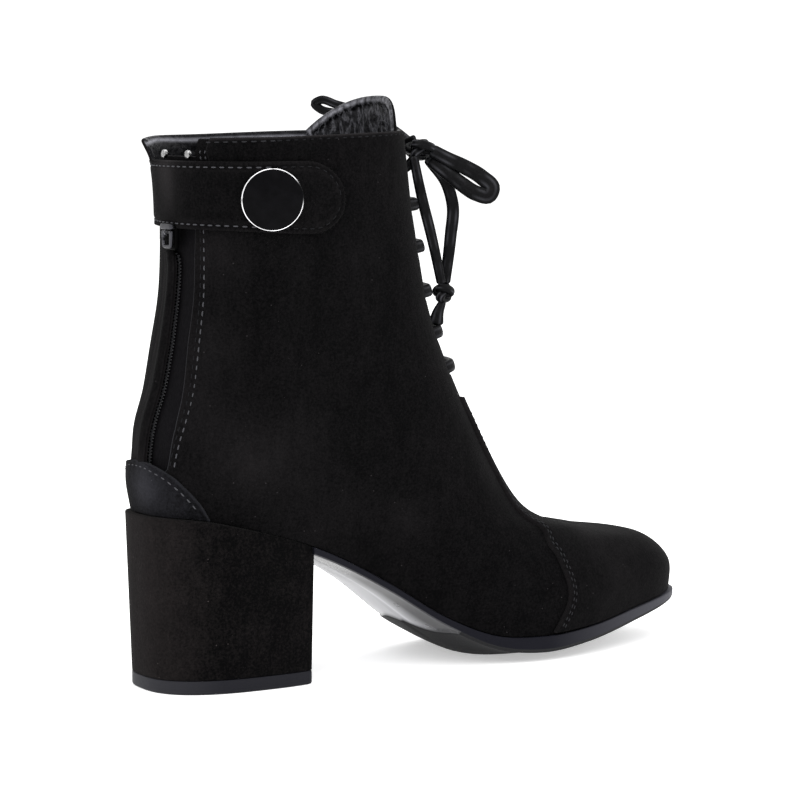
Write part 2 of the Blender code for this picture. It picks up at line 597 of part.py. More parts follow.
def make_slider(finish):
    """Slider plate over the chain, with a crown that holds the pull tab's pin."""
    x, y, z = PIVOT
    points, faces = box(SLIDER_X, (y - SLIDER_HALF, y + SLIDER_HALF), SLIDER_Z)
    slider = add_object("zip_slider", mesh_from("zip_slider", points, faces), finish)
    out = x - CROWN_HOLE - CROWN_BAR
    crown = box((out, SLIDER_X[0] + CROWN_SINK), (y - CROWN_HALF, y + CROWN_HALF),
                (z - CROWN_HOLE - CROWN_BAR, z + CROWN_HOLE + CROWN_BAR))
    hole = box((x - CROWN_HOLE, SLIDER_X[0]), (y - SLIDER_HALF, y + SLIDER_HALF),
               (z - CROWN_HOLE, z + CROWN_HOLE))
    apply_boolean(slider, [crown], "UNION")
    apply_boolean(slider, [hole], "DIFFERENCE")


def make_pull(finish):
    """Pull tab: a tapered plate with a window, whose top bar is the pin under the crown."""
    wide, foot = PULL_HALF
    plate = prism([(wide, PULL_TOP), (-wide, PULL_TOP), (-foot, -PULL_FOOT), (foot, -PULL_FOOT)],
                  -PULL_THICK / 2, PULL_THICK / 2)
    pull = add_object("zip_pull", mesh_from("zip_pull", *plate), finish)
    half, depth = PULL_WINDOW
    window = box((-PULL_THICK, PULL_THICK), (-half, half), (-depth, -PIN_RADIUS))
    above = box((-PULL_THICK, PULL_THICK), (-half, half), (PIN_RADIUS, PULL_TOP + 1))
    apply_boolean(pull, [window, above], "DIFFERENCE")
    pull.location = [value * MM for value in PIVOT]


def make_lace_bars(finish):
    """Lace bars: flat oval cords that cross the throat from hole to hole."""
    turn = np.linspace(0, 2 * np.pi, 8, endpoint=False)
    y = LACE_HALF_SPAN * np.array(BAR_ACROSS)
    size = np.where(np.abs(BAR_ACROSS) < 1, 1.0, BAR_TIP)
    for number, height in enumerate(LACE_ROWS_Z, start=1):
        row = row_at_height(around_at_y(y, SHAFT_ROW, back=False), height)
        around = around_at_y(y, row, back=False)
        path = skin(around, row, LACE_GAP + LACE_THICK / 2)
        out = skin(around, row, 1.0) - surface(around, row)
        rising = np.cross(out, np.gradient(path, axis=0))
        rising /= np.linalg.norm(rising, axis=-1, keepdims=True)
        ring = (np.cos(turn)[None, :, None] * out[:, None] * LACE_THICK / 2
                + np.sin(turn)[None, :, None] * rising[:, None] * LACE_WIDE / 2)
        points = path[:, None] + ring * size[:, None, None]
        sides = turn.size
        faces = [(i * sides + j, i * sides + (j + 1) % sides,
                  (i + 1) * sides + (j + 1) % sides, (i + 1) * sides + j)
                 for i in range(len(y) - 1) for j in range(sides)]
        faces += [tuple(range(sides)), tuple(range((len(y) - 1) * sides, len(y) * sides))]
        name = f"lace_bar_{number}"
        add_object(name, mesh_from(name, points.reshape(-1, 3), faces), finish)


def make_cord(name, route, finish):
    """Free lace: a round tube along a smooth curve through its route's points."""
    route = np.array(route, float)
    reach = np.concatenate([[0.0], np.cumsum(np.linalg.norm(np.diff(route, axis=0), axis=1))])
    stops = np.linspace(0, reach[-1], int(np.ceil(reach[-1] / CORD_STEP)) + 1)
    path = np.stack([smooth(reach, route[:, axis], stops) for axis in range(3)], axis=-1)
    curve = bpy.data.curves.new(name, "CURVE")
    curve.dimensions = "3D"
    curve.bevel_depth = CORD_RADIUS * MM
    curve.bevel_resolution = 2
    curve.use_fill_caps = True
    spline = curve.splines.new("POLY")
    spline.points.add(len(path) - 1)
    for point, place in zip(spline.points, path):
        point.co = (*(place * MM), 1.0)
    curve.materials.append(finish)
    bpy.context.scene.collection.objects.link(bpy.data.objects.new(name, curve))


def make_knot(name, centre, half, finish):
    """Knot of the lace: a small rounded lump."""
    turn = np.linspace(-np.pi / 2, np.pi / 2, 7)
    profile = [(np.cos(a), np.sin(a)) for a in turn]
    knot = turned(name, profile, np.zeros(3), np.array([1.0, 0.0, 0.0]), finish, facets=10)
    for vertex in knot.data.vertices:
        vertex.co = [(place + value / MM * size) * MM for place, value, size in zip(centre, vertex.co, half)]


def main():
    """Build every piece of the boot."""
    for item in list(bpy.data.objects):
        bpy.data.objects.remove(item)
    suede = material("black_suede", (0.012, 0.011, 0.012), 0.9)
    toe_suede = material("toe_suede", (0.014, 0.013, 0.014), 0.85)
    counter_suede = material("counter_suede", (0.020, 0.020, 0.024), 0.85)
    heel_suede = material("heel_suede", (0.010, 0.009, 0.008), 0.95)
    lining = material("tongue_leather", (0.012, 0.012, 0.014), 0.35)
    insole = material("insole_leather", (0.030, 0.028, 0.026), 0.6)
    rubber = material("sole_rubber", (0.035, 0.035, 0.040), 0.55)
    lift_rubber = material("lift_rubber", (0.025, 0.025, 0.030), 0.6)
    tape = material("zip_tape_cloth", (0.010, 0.010, 0.011), 0.7)
    metal = material("zip_metal", (0.22, 0.22, 0.23), 0.35, 1.0)
    silver = material("button_silver", (0.75, 0.75, 0.76), 0.15, 1.0)
    gloss = material("button_black", (0.006, 0.006, 0.007), 0.08)
    lace = material("lace_leather", (0.012, 0.012, 0.013), 0.4)
    make_upper(suede)
    make_toe_piece(toe_suede)
    make_counter(counter_suede)
    make_tongue(lining)
    make_insole(insole)
    make_outsole(rubber)
    make_heel(heel_suede, lift_rubber)
    make_strap(suede)
    make_button(silver, gloss)
    make_zip(tape, metal)
    make_lace_bars(lace)
    for name, route in CORD_ROUTES.items():
        make_cord(name, route, lace)
    make_knot("bow_knot", KNOT_CENTRE, KNOT_HALF, lace)
    make_knot("lace_end_knot", END_KNOT_CENTRE, END_KNOT_HALF, lace)


main()
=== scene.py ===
"""Looks of a black suede ankle boot with a block heel, laid out as a Blender add-on.

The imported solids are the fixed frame. Every surface here is worked out from the same last,
in millimetres, and MM turns millimetres into metres when a mesh is made.
"""
import json
from collections import namedtuple
from functools import wraps

import bmesh
import bpy
import numpy as np
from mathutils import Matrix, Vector


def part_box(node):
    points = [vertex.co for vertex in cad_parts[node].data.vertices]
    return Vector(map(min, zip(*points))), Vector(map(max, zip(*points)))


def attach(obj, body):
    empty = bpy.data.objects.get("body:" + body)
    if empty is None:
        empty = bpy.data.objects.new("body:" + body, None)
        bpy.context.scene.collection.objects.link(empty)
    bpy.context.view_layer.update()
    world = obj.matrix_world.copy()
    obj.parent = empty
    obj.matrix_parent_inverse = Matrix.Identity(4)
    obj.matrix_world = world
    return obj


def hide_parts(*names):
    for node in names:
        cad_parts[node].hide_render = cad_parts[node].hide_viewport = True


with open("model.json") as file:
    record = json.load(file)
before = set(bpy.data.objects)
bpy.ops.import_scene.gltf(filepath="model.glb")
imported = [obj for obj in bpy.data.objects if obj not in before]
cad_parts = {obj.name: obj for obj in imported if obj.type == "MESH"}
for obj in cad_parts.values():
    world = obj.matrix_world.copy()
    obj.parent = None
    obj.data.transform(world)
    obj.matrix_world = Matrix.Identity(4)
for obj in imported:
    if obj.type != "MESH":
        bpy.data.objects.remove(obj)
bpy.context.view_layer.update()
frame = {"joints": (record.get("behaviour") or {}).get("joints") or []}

bl_info = {
    "name": "Suede ankle boot",
    "version": (1, 0, 0),
    "blender": (4, 5, 0),
    "location": "3D View > Sidebar > Boot",
    "description": "Surfaces, seams, lace, zip and finishes of a suede ankle boot",
    "category": "Object",
}

MM = 0.001
FINISH_NAME = "boot_{}"  # keeps these materials apart from the solids' own

# Camera at the photo's angle, in millimetres and degrees
CAMERA_TARGET = (79.3, 0.0, 98.4)
CAMERA_DISTANCE = 1100.0
CAMERA_AZIMUTH = -31.0
CAMERA_ELEVATION = 5.9
CAMERA_LENS = 132.3
TO_CAMERA = (-0.512, -0.853, 0.103)  # unit vector
CAMERA_RIGHT = (0.857, -0.515, 0.0)
CLIP_START = 0.05        # metres

# Stage: each light's name, place, size and power in metres and watts; the floor in millimetres
LIGHTS = (("key", (-0.5, -0.9, 1.1), 0.9, 9.0), ("top", (0.25, 0.1, 1.4), 1.0, 8.0),
          ("side", (1.1, -0.5, 0.7), 0.7, 4.0))
WHITE = (1.0, 1.0, 1.0, 1.0)
WORLD_STRENGTH = 1.2
FLOOR_REACH = 3000.0
FLOOR_POINTS = 9         # along each side
FLOOR_DROP = 0.05
FLOOR_GLOW = 0.42

# Soft lines along an edge or at a place: strength, distance of the middle, and width
Strip = namedtuple("Strip", "strength place width")

# The last: one row for each ring of the upper, from the feather line to the collar
Section = namedtuple("Section", "back_x back_z front_x front_z follow fullness heel waist ball toe swing")
SECTIONS = (
    Section(-27.5,  63.5, 199.0,  19.0, 1.00, 3.00, 25.5, 22.0, 34.0, 25.0, 5.0),
    Section(-29.0,  74.5, 198.0,  31.0, 0.90, 3.00, 28.0, 25.5, 36.0, 26.5, 5.0),
    Section(-28.5,  84.5, 186.0,  40.0, 0.65, 2.70, 29.5, 28.5, 35.0, 24.0, 4.5),
    Section(-27.5,  95.5, 162.0,  44.0, 0.40, 2.50, 29.5, 30.5, 33.5, 23.5, 3.0),
    Section(-23.5, 108.5, 129.0,  55.0, 0.20, 2.30, 29.5, 31.5, 33.0, 23.5, 1.5),
    Section(-20.0, 124.5, 103.5,  93.5, 0.05, 2.20, 29.5, 32.5, 32.5, 24.0, 0.5),
    Section(-16.0, 144.5,  87.0, 129.5, 0.00, 2.15, 30.5, 34.0, 33.0, 24.0, 0.0),
    Section(-14.5, 168.0,  79.5, 163.0, 0.00, 2.10, 31.5, 36.0, 34.0, 24.0, 0.0),
    Section(-15.5, 187.0,  76.5, 185.5, 0.00, 2.10, 32.5, 37.0, 34.5, 24.0, 0.0),
    Section(-19.5, 196.5,  75.0, 199.5, 0.00, 2.10, 33.5, 37.5, 35.0, 24.0, 0.0),
)
FEATHER = SECTIONS[0]
COLLAR_ROW = len(SECTIONS) - 1
SHAFT_ROW = 6.5          # a row well inside the shaft, where searches start
STATIONS = (0.0, 0.14, 0.42, 0.68, 0.90, 1.0)
SWING_START = 0.35
SWING_POWER = 1.5

# The sole against share of length: height of the feather line and bulge of the underside
Profile = namedtuple("Profile", "share height crown")
PROFILE = (
    Profile(0.00, 63.5, 0.0), Profile(0.05, 62.5, 0.0), Profile(0.13, 58.5, 0.0), Profile(0.25, 50.0, 0.0),
    Profile(0.40, 33.0, 2.0), Profile(0.50, 19.0, 4.5), Profile(0.58, 11.5, 7.0), Profile(0.66, 10.0, 7.0),
    Profile(0.76, 11.5, 7.0), Profile(0.88, 15.5, 6.0), Profile(1.00, 19.0, 4.0),
)
GAP = 0.3
SOLE_THICK = 3.0
SOLE_PROUD = 1.0
SOLE_TOE_PROUD = 3.5
TREAD_X = 88.0
TREAD_STEP = 1.0
TREAD_SLOPE = 0.5
TREAD_EDGE = 0.97
TOE_FADE = 34.0          # half width under which the underside flattens
SOLE_ROUND = 0.5         # rounding of the sole's edge
SOLE_TUCK = 1.5          # how far the sole reaches behind the heel's breast
TREAD_LINE = ((-1.0, -2.0), (-0.4, 1.0), (0.0, 7.0), (0.4, 8.0), (1.0, 2.0))  # how far back it starts
SOLE_FAR_EDGE = ((0.0, 3.0), (0.40, 3.0), (0.46, 4.6), (0.52, 6.2), (0.58, 6.5), (0.66, 6.0), (0.76, 5.0),
                 (0.88, 4.0), (1.0, 2.6))
SOLE_EDGE = ((0.0, 3.0), (0.40, 3.0), (0.50, 3.2), (0.58, 4.2), (0.66, 5.2), (0.76, 4.8),
             (0.88, 4.0), (1.0, 2.6))
INSOLE_THICK = 2.0
INSOLE_INSET = 3.4
INSOLE_ROUND = 0.6
EDGE_REFLECTION_X = 125.0     # painted reflection of the pale floor: the edge grows lighter from here
EDGE_REFLECTION_REACH = 75.0
# Painted reflection of the pale floor on the glossy shank, painted shade towards the heel, and a painted
# highlight line
SHANK_SIDE = 0.55        # the shank's painted floor reflection starts this far to the near side
SHANK_SIDE_REACH = 0.4
SHANK_FAR_FADE = 0.08
SHANK_X = 20.0
SHANK_X_REACH = 45.0
SHANK_LEAST = 0.15
SHANK_HIGHLIGHT = Strip(0.5, -0.12, 0.035)

# Block heel: back, breast and half width at the floor and at the seat
HeelRow = namedtuple("HeelRow", "back_x breast_x half_width")
HEEL_FLOOR = HeelRow(-29.0, 28.5, 25.5)
HEEL_SEAT = HeelRow(-31.0, 29.0, 26.8)
HEEL_FULLNESS = 2.6
HEEL_ROUND = 20.0
HEEL_CORNER = 2.5        # rounding of the two upright corners at the breast
LIFT_THICK = 5.0
HEEL_LEVELS = 40
HEEL_EDGE_DROP = 0.6     # of the last level, which rounds the edge
HEEL_CAP = ((0.996, 0.15), (0.985, 0.0), (0.95, -0.2), (0.8, -0.25), (0.5, -0.25),
            (0.1, -0.25))  # size and drop of each ring
LIFT_RINGS = ((0.0, 0.975), (0.25, 0.993), (0.7, 1.0), (2.5, 1.0), (4.4, 1.0), (4.8, 0.997),
              (LIFT_THICK, 0.99))  # height and size of each ring
# Painted sheen on the heel and its top lift, lighter towards the back, and a little painted shade over the
# whole heel
HEEL_SHEEN_X = -4.0      # painted sheen: the nap is painted lighter from here to the back
HEEL_SHEEN_REACH = 27.0
HEEL_SHEEN = 0.72
HEEL_SHEEN_POWER = 1.6
HEEL_SHADE = 0.08
LIFT_SHEEN_X = -8.0
LIFT_SHEEN_REACH = 22.0

# Seams of the toe piece and the counter: row, and place around the ring
Seam = namedtuple("Seam", "row around")
TOE_SEAM = (Seam(0.0, 0.2850), Seam(1.0, 0.2952), Seam(2.0, 0.3085), Seam(2.6, 0.3225), Seam(3.1, 0.347),
            Seam(3.5, 0.369), Seam(3.9, 0.392), Seam(4.3, 0.412), Seam(4.8, 0.418), Seam(5.3, 0.416))
COUNTER_SEAM = (Seam(0.0, 0.104), Seam(0.55, 0.093), Seam(1.05, 0.075), Seam(1.5, 0.050),
                Seam(1.74, 0.023), Seam(1.82, 0.006))
SEAM_FOOT = 0.06
TOE_PIECE_TOP = 5.15
COUNTER_TOP = 1.82
TOE_TOP_BAND = 0.06      # rows that round the top edge
COUNTER_TOP_BAND = 0.1
OVERLAY_ROUND = 0.8
OVERLAY_LIFT = 0.02      # of its edge above the upper
OVERLAY_TROUGH = Strip(0.25, 2.2, 0.9)
OVERLAY_FADE = 8.0       # creases fade out this near to its edge
EDGE_RUB = Strip(0.8, 0.0, 0.7)

# Edges of the openings: height, and distance from the middle plane
Edge = namedtuple("Edge", "z y")
SLIT_NEAR = (Edge(77.6, 0.0), Edge(78.0, -11.5), Edge(80.5, -14.3), Edge(95.0, -15.6), Edge(110.0, -15.0),
             Edge(125.0, -14.1), Edge(140.0, -13.6), Edge(155.0, -12.6), Edge(166.0, -12.6),
             Edge(187.5, -20.5), Edge(192.5, -21.0), Edge(197.0, -25.0), Edge(230.0, -26.0))
SLIT_FAR = (Edge(77.6, 0.0), Edge(78.0, -4.6), Edge(85.0, -4.4), Edge(95.0, -5.6), Edge(110.0, -5.8),
            Edge(125.0, -5.6), Edge(140.0, -3.8), Edge(152.0, -2.9), Edge(155.0, -1.6), Edge(157.0, 1.2),
            Edge(158.0, 3.2), Edge(166.0, 3.5),
            Edge(187.5, 20.5), Edge(230.0, 24.5))
FOLD_STITCHES = (Edge(80.0, -16.6), Edge(85.0, -17.0), Edge(95.0, -18.4), Edge(110.0, -18.8),
                 Edge(125.0, -18.6), Edge(140.0, -18.2), Edge(155.0, -17.4), Edge(166.0, -17.0))
FLAP_TOP_Z = 155.0       # the far edge covers the teeth below this height
FACING = (Edge(184.5, -13.6), Edge(191.0, -14.6), Edge(195.6, -19.0))
FACING_Z = (184.5, 195.6)
FACING_LAST_Y = -24.0
THROAT_HALF = 9.0
THROAT_BOTTOM_Z = 108.0
QUARTER_COLUMNS = 120
ROW_RUNS = ((0.0, 1.28, 18), (1.28, 1.42, 13), (1.42, 5.3, 52), (5.3, 5.8, 18), (5.8, 6.25, 8),
            (6.25, 6.62, 24), (6.62, COLLAR_ROW - 0.1, 38))  # first row, last row, count
COLLAR_BAND = 0.09       # rows that round the collar's edge
CREASE_FADE = 6.0        # creases fade out this near to an edge
FLAP_FADE = (3.0, 4.0)   # above the flap's top, and over what height
FLAP_BULGE = Strip(1.5, 3.0, 3.0)
FLAP_THIN = Strip(1.7, 0.0, 7.0)
# A lighter line along the far flap
FLAP_LIGHT_LINE = Strip(1.2, 9.5, 0.8)
FLARE_Z = 183.0
FLARE_REACH = 5.0
FLARE = Strip(2.0, 0.0, 9.0)
# Painted highlight along the collar's edge
COLLAR_HIGHLIGHT = Strip(1.5, 0.0, 0.6)
# Painted highlight along the lining's top edge
LINING_HIGHLIGHT = Strip(4.0, 2.2, 0.7)
NEAR_FOLD_BAND_COLUMNS = slice(1, 4)  # faces of the near fold that are drawn in a lighter band
FACING_RUB = 0.1
FACING_DEPTHS = (0.2, -0.8)  # of its two faces, from the inside of the wall

# Lacing
LACE_ROWS_Z = (111.5, 124.5, 140.0, 156.5, 172.0)
LACE_GAP = 0.6
BAR_WIDE = 4.8
BAR_THICK = 2.5
BAR_WIDE_WAY = (-0.3, 0.0, 1.0)
BAR_PAST = 0.8           # past the hole's middle
DIVE_START = 3.4         # before the hole's middle
DIVE_REACH = 4.2
DIVE_DEPTH = 3.0
RISE_WIDE_WAY = (0.0, 0.3, 1.0)
RISE_SIZE = (0.8, 0.7)   # of the bar's width and thickness
HOLE_Y = 17.0
HOLE_RADIUS = 2.6
HOLE_DENT = 1.2
HOLES_FROM_X = 40.0      # all holes lie forward of this
TONGUE_GAP = 0.5
TONGUE_THICK = 1.8
TONGUE_TOP_ROW = 9.9
TONGUE_LOW_ROW = 4.7
TONGUE_HALF = (0.093, 0.150)
TONGUE_ROUND = 2.6
TONGUE_NEAR = 0.62       # the near corner of its top is cut short
TONGUE_CUT = 1.25        # the most that the cut corner reaches
PLEAT_HIGH = 0.28
PLEAT_FADE = 5.0
PLEAT_SHARE = 0.6
TONGUE_ROLL = Strip(0.35, 2.0, 1.1)
TONGUE_SEAM = Strip(0.6, 3.2, 0.7)
# Painted highlights along the tongue lining's folded edge and on its folds
TONGUE_HIGHLIGHT = Strip(2.4, 1.4, 0.7)
TONGUE_FOLD_HIGHLIGHTS = Strip(0.3, 0.0, 6.0)

# Back zip
ZIP_Y = -1.5
TAPE_GAP = 0.4
TAPE_THICK = 0.9
TAPE_ROWS = (1.42, 8.2)
TAPE_Y = (-20.0, 9.5)
TEETH_ROWS = (1.75, 6.5)
TOOTH_HALF = 1.4
TOOTH_RADIUS = 0.3
TOOTH_INNER = 0.5
TOOTH_SHIFT = 0.3        # from the flap's edge
TOOTH_RISE = 1.2         # above the tape
STOP_Y = (6.0, -11.5)
STOP_Z = 190.2
STOP_SIZE = (2.0, 2.6, 3.0)
PIVOT = tuple(value / MM for value in frame["joints"][0]["pos_m"])
SLIDER_HALF = 4.4
CROWN_HALF = 0.55
CROWN_HOLE = 0.9
CROWN_BAR = 0.4
CAP_RISE = 1.95          # middle of the crown's cap above the pin
PULL_THICK = 1.0
PULL_HALF = (4.3, 3.3)
PULL_TOP = 0.7
PULL_FOOT = 5.8
PULL_WINDOW = (2.2, -0.6, -4.5)  # half width, top and foot

# Strap and button
STRAP_Z = (166.0, 189.0)
STRAP_ENDS = (-0.242, 0.258)
STRAP_LOW = ((-0.25, 166.0), (-0.10, 165.8), (0.0, 165.0), (0.06, 164.8), (0.12, 164.6), (0.20, 163.6),
             (0.26, 163.2))  # lower edge
STRAP_ROUND = 0.045
STRAP_FADE = 0.17        # from here its stitches are drawn in the darkest painted shade
STRAP_GAP = 0.3
STRAP_EDGE = 1.2         # rounding of its edge
STRAP_TROUGH = Strip(0.45, 1.9, 0.8)
STRAP_SHINE = Strip(1.9, -0.002, 0.02)  # upright, at the centre back
STRAP_SHINE_RISE = 16.0
STRAP_SHINE_LEAST = 0.1
# Wear and a painted highlight along the strap's edges, and a lighter line inside them
STRAP_EDGE_WEAR_AND_HIGHLIGHT = Strip(0.7, 0.0, 0.9)
STRAP_INNER_LINE = Strip(0.25, 3.0, 0.8)
BUTTON_AT = (0.156, 176.0)
BUTTON_BASE = 2.65       # above the upper
BUTTON_RADIUS = 11.0
BUTTON_RIM = 0.5
BUTTON_HIGH = 1.7
CAP_DOME = 1.0
RIM_FOOT = -0.6
RIM_FOOT_INSET = 0.2
RIM_CREST = 0.5
RIM_DARK_REFLECTION = (196.0, 24.0)  # painted dark reflection, in degrees: middle and half width of the rim's dark part
RIM_DARK_REFLECTION_POWER = 6
# Two narrow painted dark reflections on the rim: strength, degrees and half width
RIM_DARK_LINES = (Strip(0.8, 0.0, 4.0), Strip(0.7, 270.0, 3.0))
CAP_INSET = 0.35
CAP_SINK = 0.05
CAP_POWER = 1.4
CAP_FOOT = ((0.0, -1.6), (6.0, -1.6))  # radius and height
CAP_EDGE_Z = -0.4

# Bow: the routes of the free lace, close to where the solids lie
KNOT_CENTRE = (82.0, -10.0, 192.0)
KNOT_HALF = (4.6, 5.2, 4.2)
END_KNOT_CENTRE = (90.0, -13.5, 139.2)
END_KNOT_HALF = (3.4, 3.6, 4.0)
CORD_ROUTES = {
    "bow_loop_near": ((85.2, -14.2, 191.2), (89.0, -17.5, 188.6), (94.4, -21.0, 185.6),
                      (99.6, -24.6, 181.8), (102.2, -27.6, 177.8), (100.8, -27.6, 175.2),
                      (97.4, -24.6, 175.9), (93.4, -20.9, 179.2), (89.0, -16.6, 183.9),
                      (85.4, -13.2, 187.6)),
    "bow_loop_far": ((81.4, -5.3, 194.2), (83.0, 10.0, 199.0), (80.0, 28.0, 205.2), (74.8, 40.0, 208.4),
                     (71.2, 45.6, 210.0), (70.0, 48.0, 208.6), (71.0, 46.0, 206.8), (74.0, 39.0, 205.0),
                     (79.5, 26.0, 200.6), (82.6, 9.0, 195.0), (82.0, -4.9, 189.6)),
    "lace_end_1": ((77.4, -13.2, 188.4), (78.2, -14.9, 180.5), (80.3, -15.4, 171.3), (82.6, -15.4, 163.6),
                   (86.0, -15.0, 151.7), (88.2, -14.5, 143.4)),
    "lace_end_2": ((84.6, -12.0, 188.0), (90.8, -14.0, 179.6), (93.3, -14.5, 171.4), (92.7, -14.0, 159.6),
                   (91.2, -12.8, 143.3)),
    "lace_tail": ((89.2, -13.6, 135.0), (87.4, -13.8, 131.6), (86.6, -13.9, 128.4)),
}
LACE_RISES = (((74.6, -7.5, 184.0), (78.0, -9.0, 186.5), (80.6, -9.8, 190.0)),
              ((75.2, 7.5, 184.0), (79.8, -1.0, 193.4), (81.5, -6.5, 195.4)))
LACE_STEP = 0.8          # between points along a lace
CORD_WIDTHS = {"bow_loop_near": 1.34, "bow_loop_far": 0.75, "lace_end_1": 0.92, "lace_end_2": 1.05}
CORD_TAPER = 0.14        # by how much a cord narrows at its ends
TAIL_WIDTHS = (0.7, 1.25)
TAIL_THICK = 1.25
KNOT_WIDE = 1.5          # of the lace's thickness
# Strength of the painted highlights on the knots
KNOT_SHINE = 2.5

# Stitches: from one to the next, how far they sink in, and where the rows run
TOE_PITCH = 2.6
COUNTER_PITCH = 3.1
STRAP_PITCH = 3.4
FOLD_PITCH = 3.2
NOTCH_PITCH = 2.4
STITCH_START = 0.5
STITCH_SINK = 0.15
STITCH_DIP = 0.4         # of the thread's thickness
STITCH_RISE = 0.05       # above plain suede
TOE_DISTANCES = (1.7, 2.9)
COUNTER_AROUND = 0.098
COUNTER_DISTANCE = 1.9
STRAP_DISTANCE = 1.7
FOLD_ROWS = (1.7, 7.0)
FOLD_DISTANCE = 1.6
NOTCH_ROWS = (8.15, 8.85)
NOTCH_DISTANCES = (2.2, 4.4)
NOTCH_RISE = 0.25        # above the inside of the wall
COLLAR_DROP = 1.25       # below the collar's edge

# Soft troughs (depth below zero) and ridges of the suede, from place to place on the last
Crease = namedtuple("Crease", "around row to_around to_row width depth")
CREASES = (
    Crease(0.20, 3.2, 0.30, 3.6, 7.0, -0.5),
    Crease(0.26, 4.2, 0.36, 4.7, 6.0, -0.45),
    Crease(0.12, 3.4, 0.19, 2.6, 8.0, -0.45),
    Crease(0.30, 5.6, 0.31, 6.6, 5.0, -0.35),
    Crease(0.15, 5.2, 0.24, 4.8, 9.0, 0.4),
    Crease(-0.14, 3.4, -0.24, 3.0, 7.0, -0.5),
    Crease(-0.28, 4.3, -0.38, 4.8, 6.0, -0.45),
    Crease(-0.20, 5.4, -0.26, 4.8, 9.0, 0.4),
)

# Rubbed spots and spots of painted sheen on the nap: place on the last, reach, and how light they are
Spot = namedtuple("Spot", "around row reach light")
SPOTS = (
    Spot(0.085, 6.5, 12.0, 0.45), Spot(0.085, 5.0, 12.0, 0.45), Spot(0.085, 3.6, 12.0, 0.45),
    Spot(0.13, 2.4, 13.0, 0.50), Spot(0.17, 3.2, 14.0, 0.40), Spot(0.24, 2.3, 9.0, 0.45),
    Spot(0.27, 6.6, 9.0, 0.25), Spot(0.42, 5.2, 9.0, 0.35), Spot(0.40, 4.4, 8.0, 0.30),
    Spot(0.20, 1.2, 12.0, 0.35), Spot(-0.10, 5.0, 14.0, 0.40), Spot(-0.22, 3.0, 14.0, 0.40),
    Spot(0.012, 1.0, 8.0, 1.60), Spot(0.06, 0.6, 8.0, 0.30), Spot(-0.06, 0.8, 9.0, 0.60),
    Spot(0.455, 2.6, 11.0, 0.55), Spot(0.40, 2.9, 8.0, 0.45), Spot(0.47, 1.8, 10.0, 0.45),
    Spot(0.345, 1.3, 9.0, 0.25), Spot(0.55, 2.4, 12.0, 0.50),
)


def smooth(knots, values, at):
    """Cubic through values along the last axis, slopes set by neighbours; straight past the ends."""
    knots, values, at = (np.asarray(item, float) for item in (knots, values, at))
    past = at - np.clip(at, knots[0], knots[-1])
    at = at - past
    step = np.diff(knots)
    rise = np.diff(values) / step
    inner = (rise[..., 1:] * step[:-1] + rise[..., :-1] * step[1:]) / (step[:-1] + step[1:])
    slope = np.concatenate([rise[..., :1], inner, rise[..., -1:]], axis=-1)
    cell = np.clip(np.searchsorted(knots, at, side="right") - 1, 0, len(knots) - 2)

    def pick(rows, index):
        rows = np.broadcast_to(rows, at.shape + rows.shape[-1:])
        return np.take_along_axis(rows, index[..., None], axis=-1)[..., 0]

    width = step[cell]
    s = (at - knots[cell]) / width
    start, stop = pick(values, cell), pick(values, cell + 1)
    leave, arrive = pick(slope, cell) * width, pick(slope, cell + 1) * width
    inside = (start * (2 * s**3 - 3 * s**2 + 1) + leave * (s**3 - 2 * s**2 + s)
              + stop * (3 * s**2 - 2 * s**3) + arrive * (s**3 - s**2))
    return inside + past * np.where(past > 0, slope[..., -1], slope[..., 0])


def bell(distance, width, power=2):
    """Soft hump: one at no distance, gone past a width or two; a higher power gives it a flat top."""
    return np.exp(-(distance / width) ** power)


def ramp(distance, reach):
    """Straight rise from zero at no distance to one at a reach, level on both sides of that."""
    return np.clip(distance / reach, 0, 1)


def strip(distance, line):
    """Height of a soft line: a bell around its middle."""
    return line.strength * bell(distance - line.place, line.width)


def table_line(table, at):
    """Smooth line through a table of two columns."""
    return smooth(*zip(*table), at)


def sine_steps(count):
    """Steps from -1 to 1 that come closer at both ends: sines of even angles."""
    return np.sin(np.linspace(-np.pi / 2, np.pi / 2, count))


def quarter_turn(count):
    """Even angles from zero to a right angle."""
    return np.linspace(0, np.pi / 2, count)


def way_along(path):
    """Distance travelled along a path at each of its points."""
    return np.concatenate([[0.0], np.cumsum(np.linalg.norm(np.diff(path, axis=0), axis=1))])


def column(rows, name):
    """One named column of a table."""
    return [getattr(row, name) for row in rows]


def feather_height(share):
    """Height of the feather line at a share of the length."""
    return smooth(column(PROFILE, "share"), column(PROFILE, "height"), share)


def half_width(section, share):
    """Half width without the round ends: a smooth line through the four stations."""
    stations = np.array(STATIONS[1:-1])
    fullness = np.asarray(section.fullness)[..., None]
    ends = (1 - np.abs(1 - 2 * stations) ** fullness) ** (1 / fullness)
    widths = np.stack([section.heel, section.waist, section.ball, section.toe], axis=-1) / ends
    widths = np.concatenate([widths[..., :1], widths, widths[..., -1:]], axis=-1)
    return smooth(STATIONS, widths, share)


def middle_y(section, share):
    """Sideways place of the ring's middle, bent towards the toe."""
    return section.swing * ramp(share - SWING_START, 1 - SWING_START) ** SWING_POWER


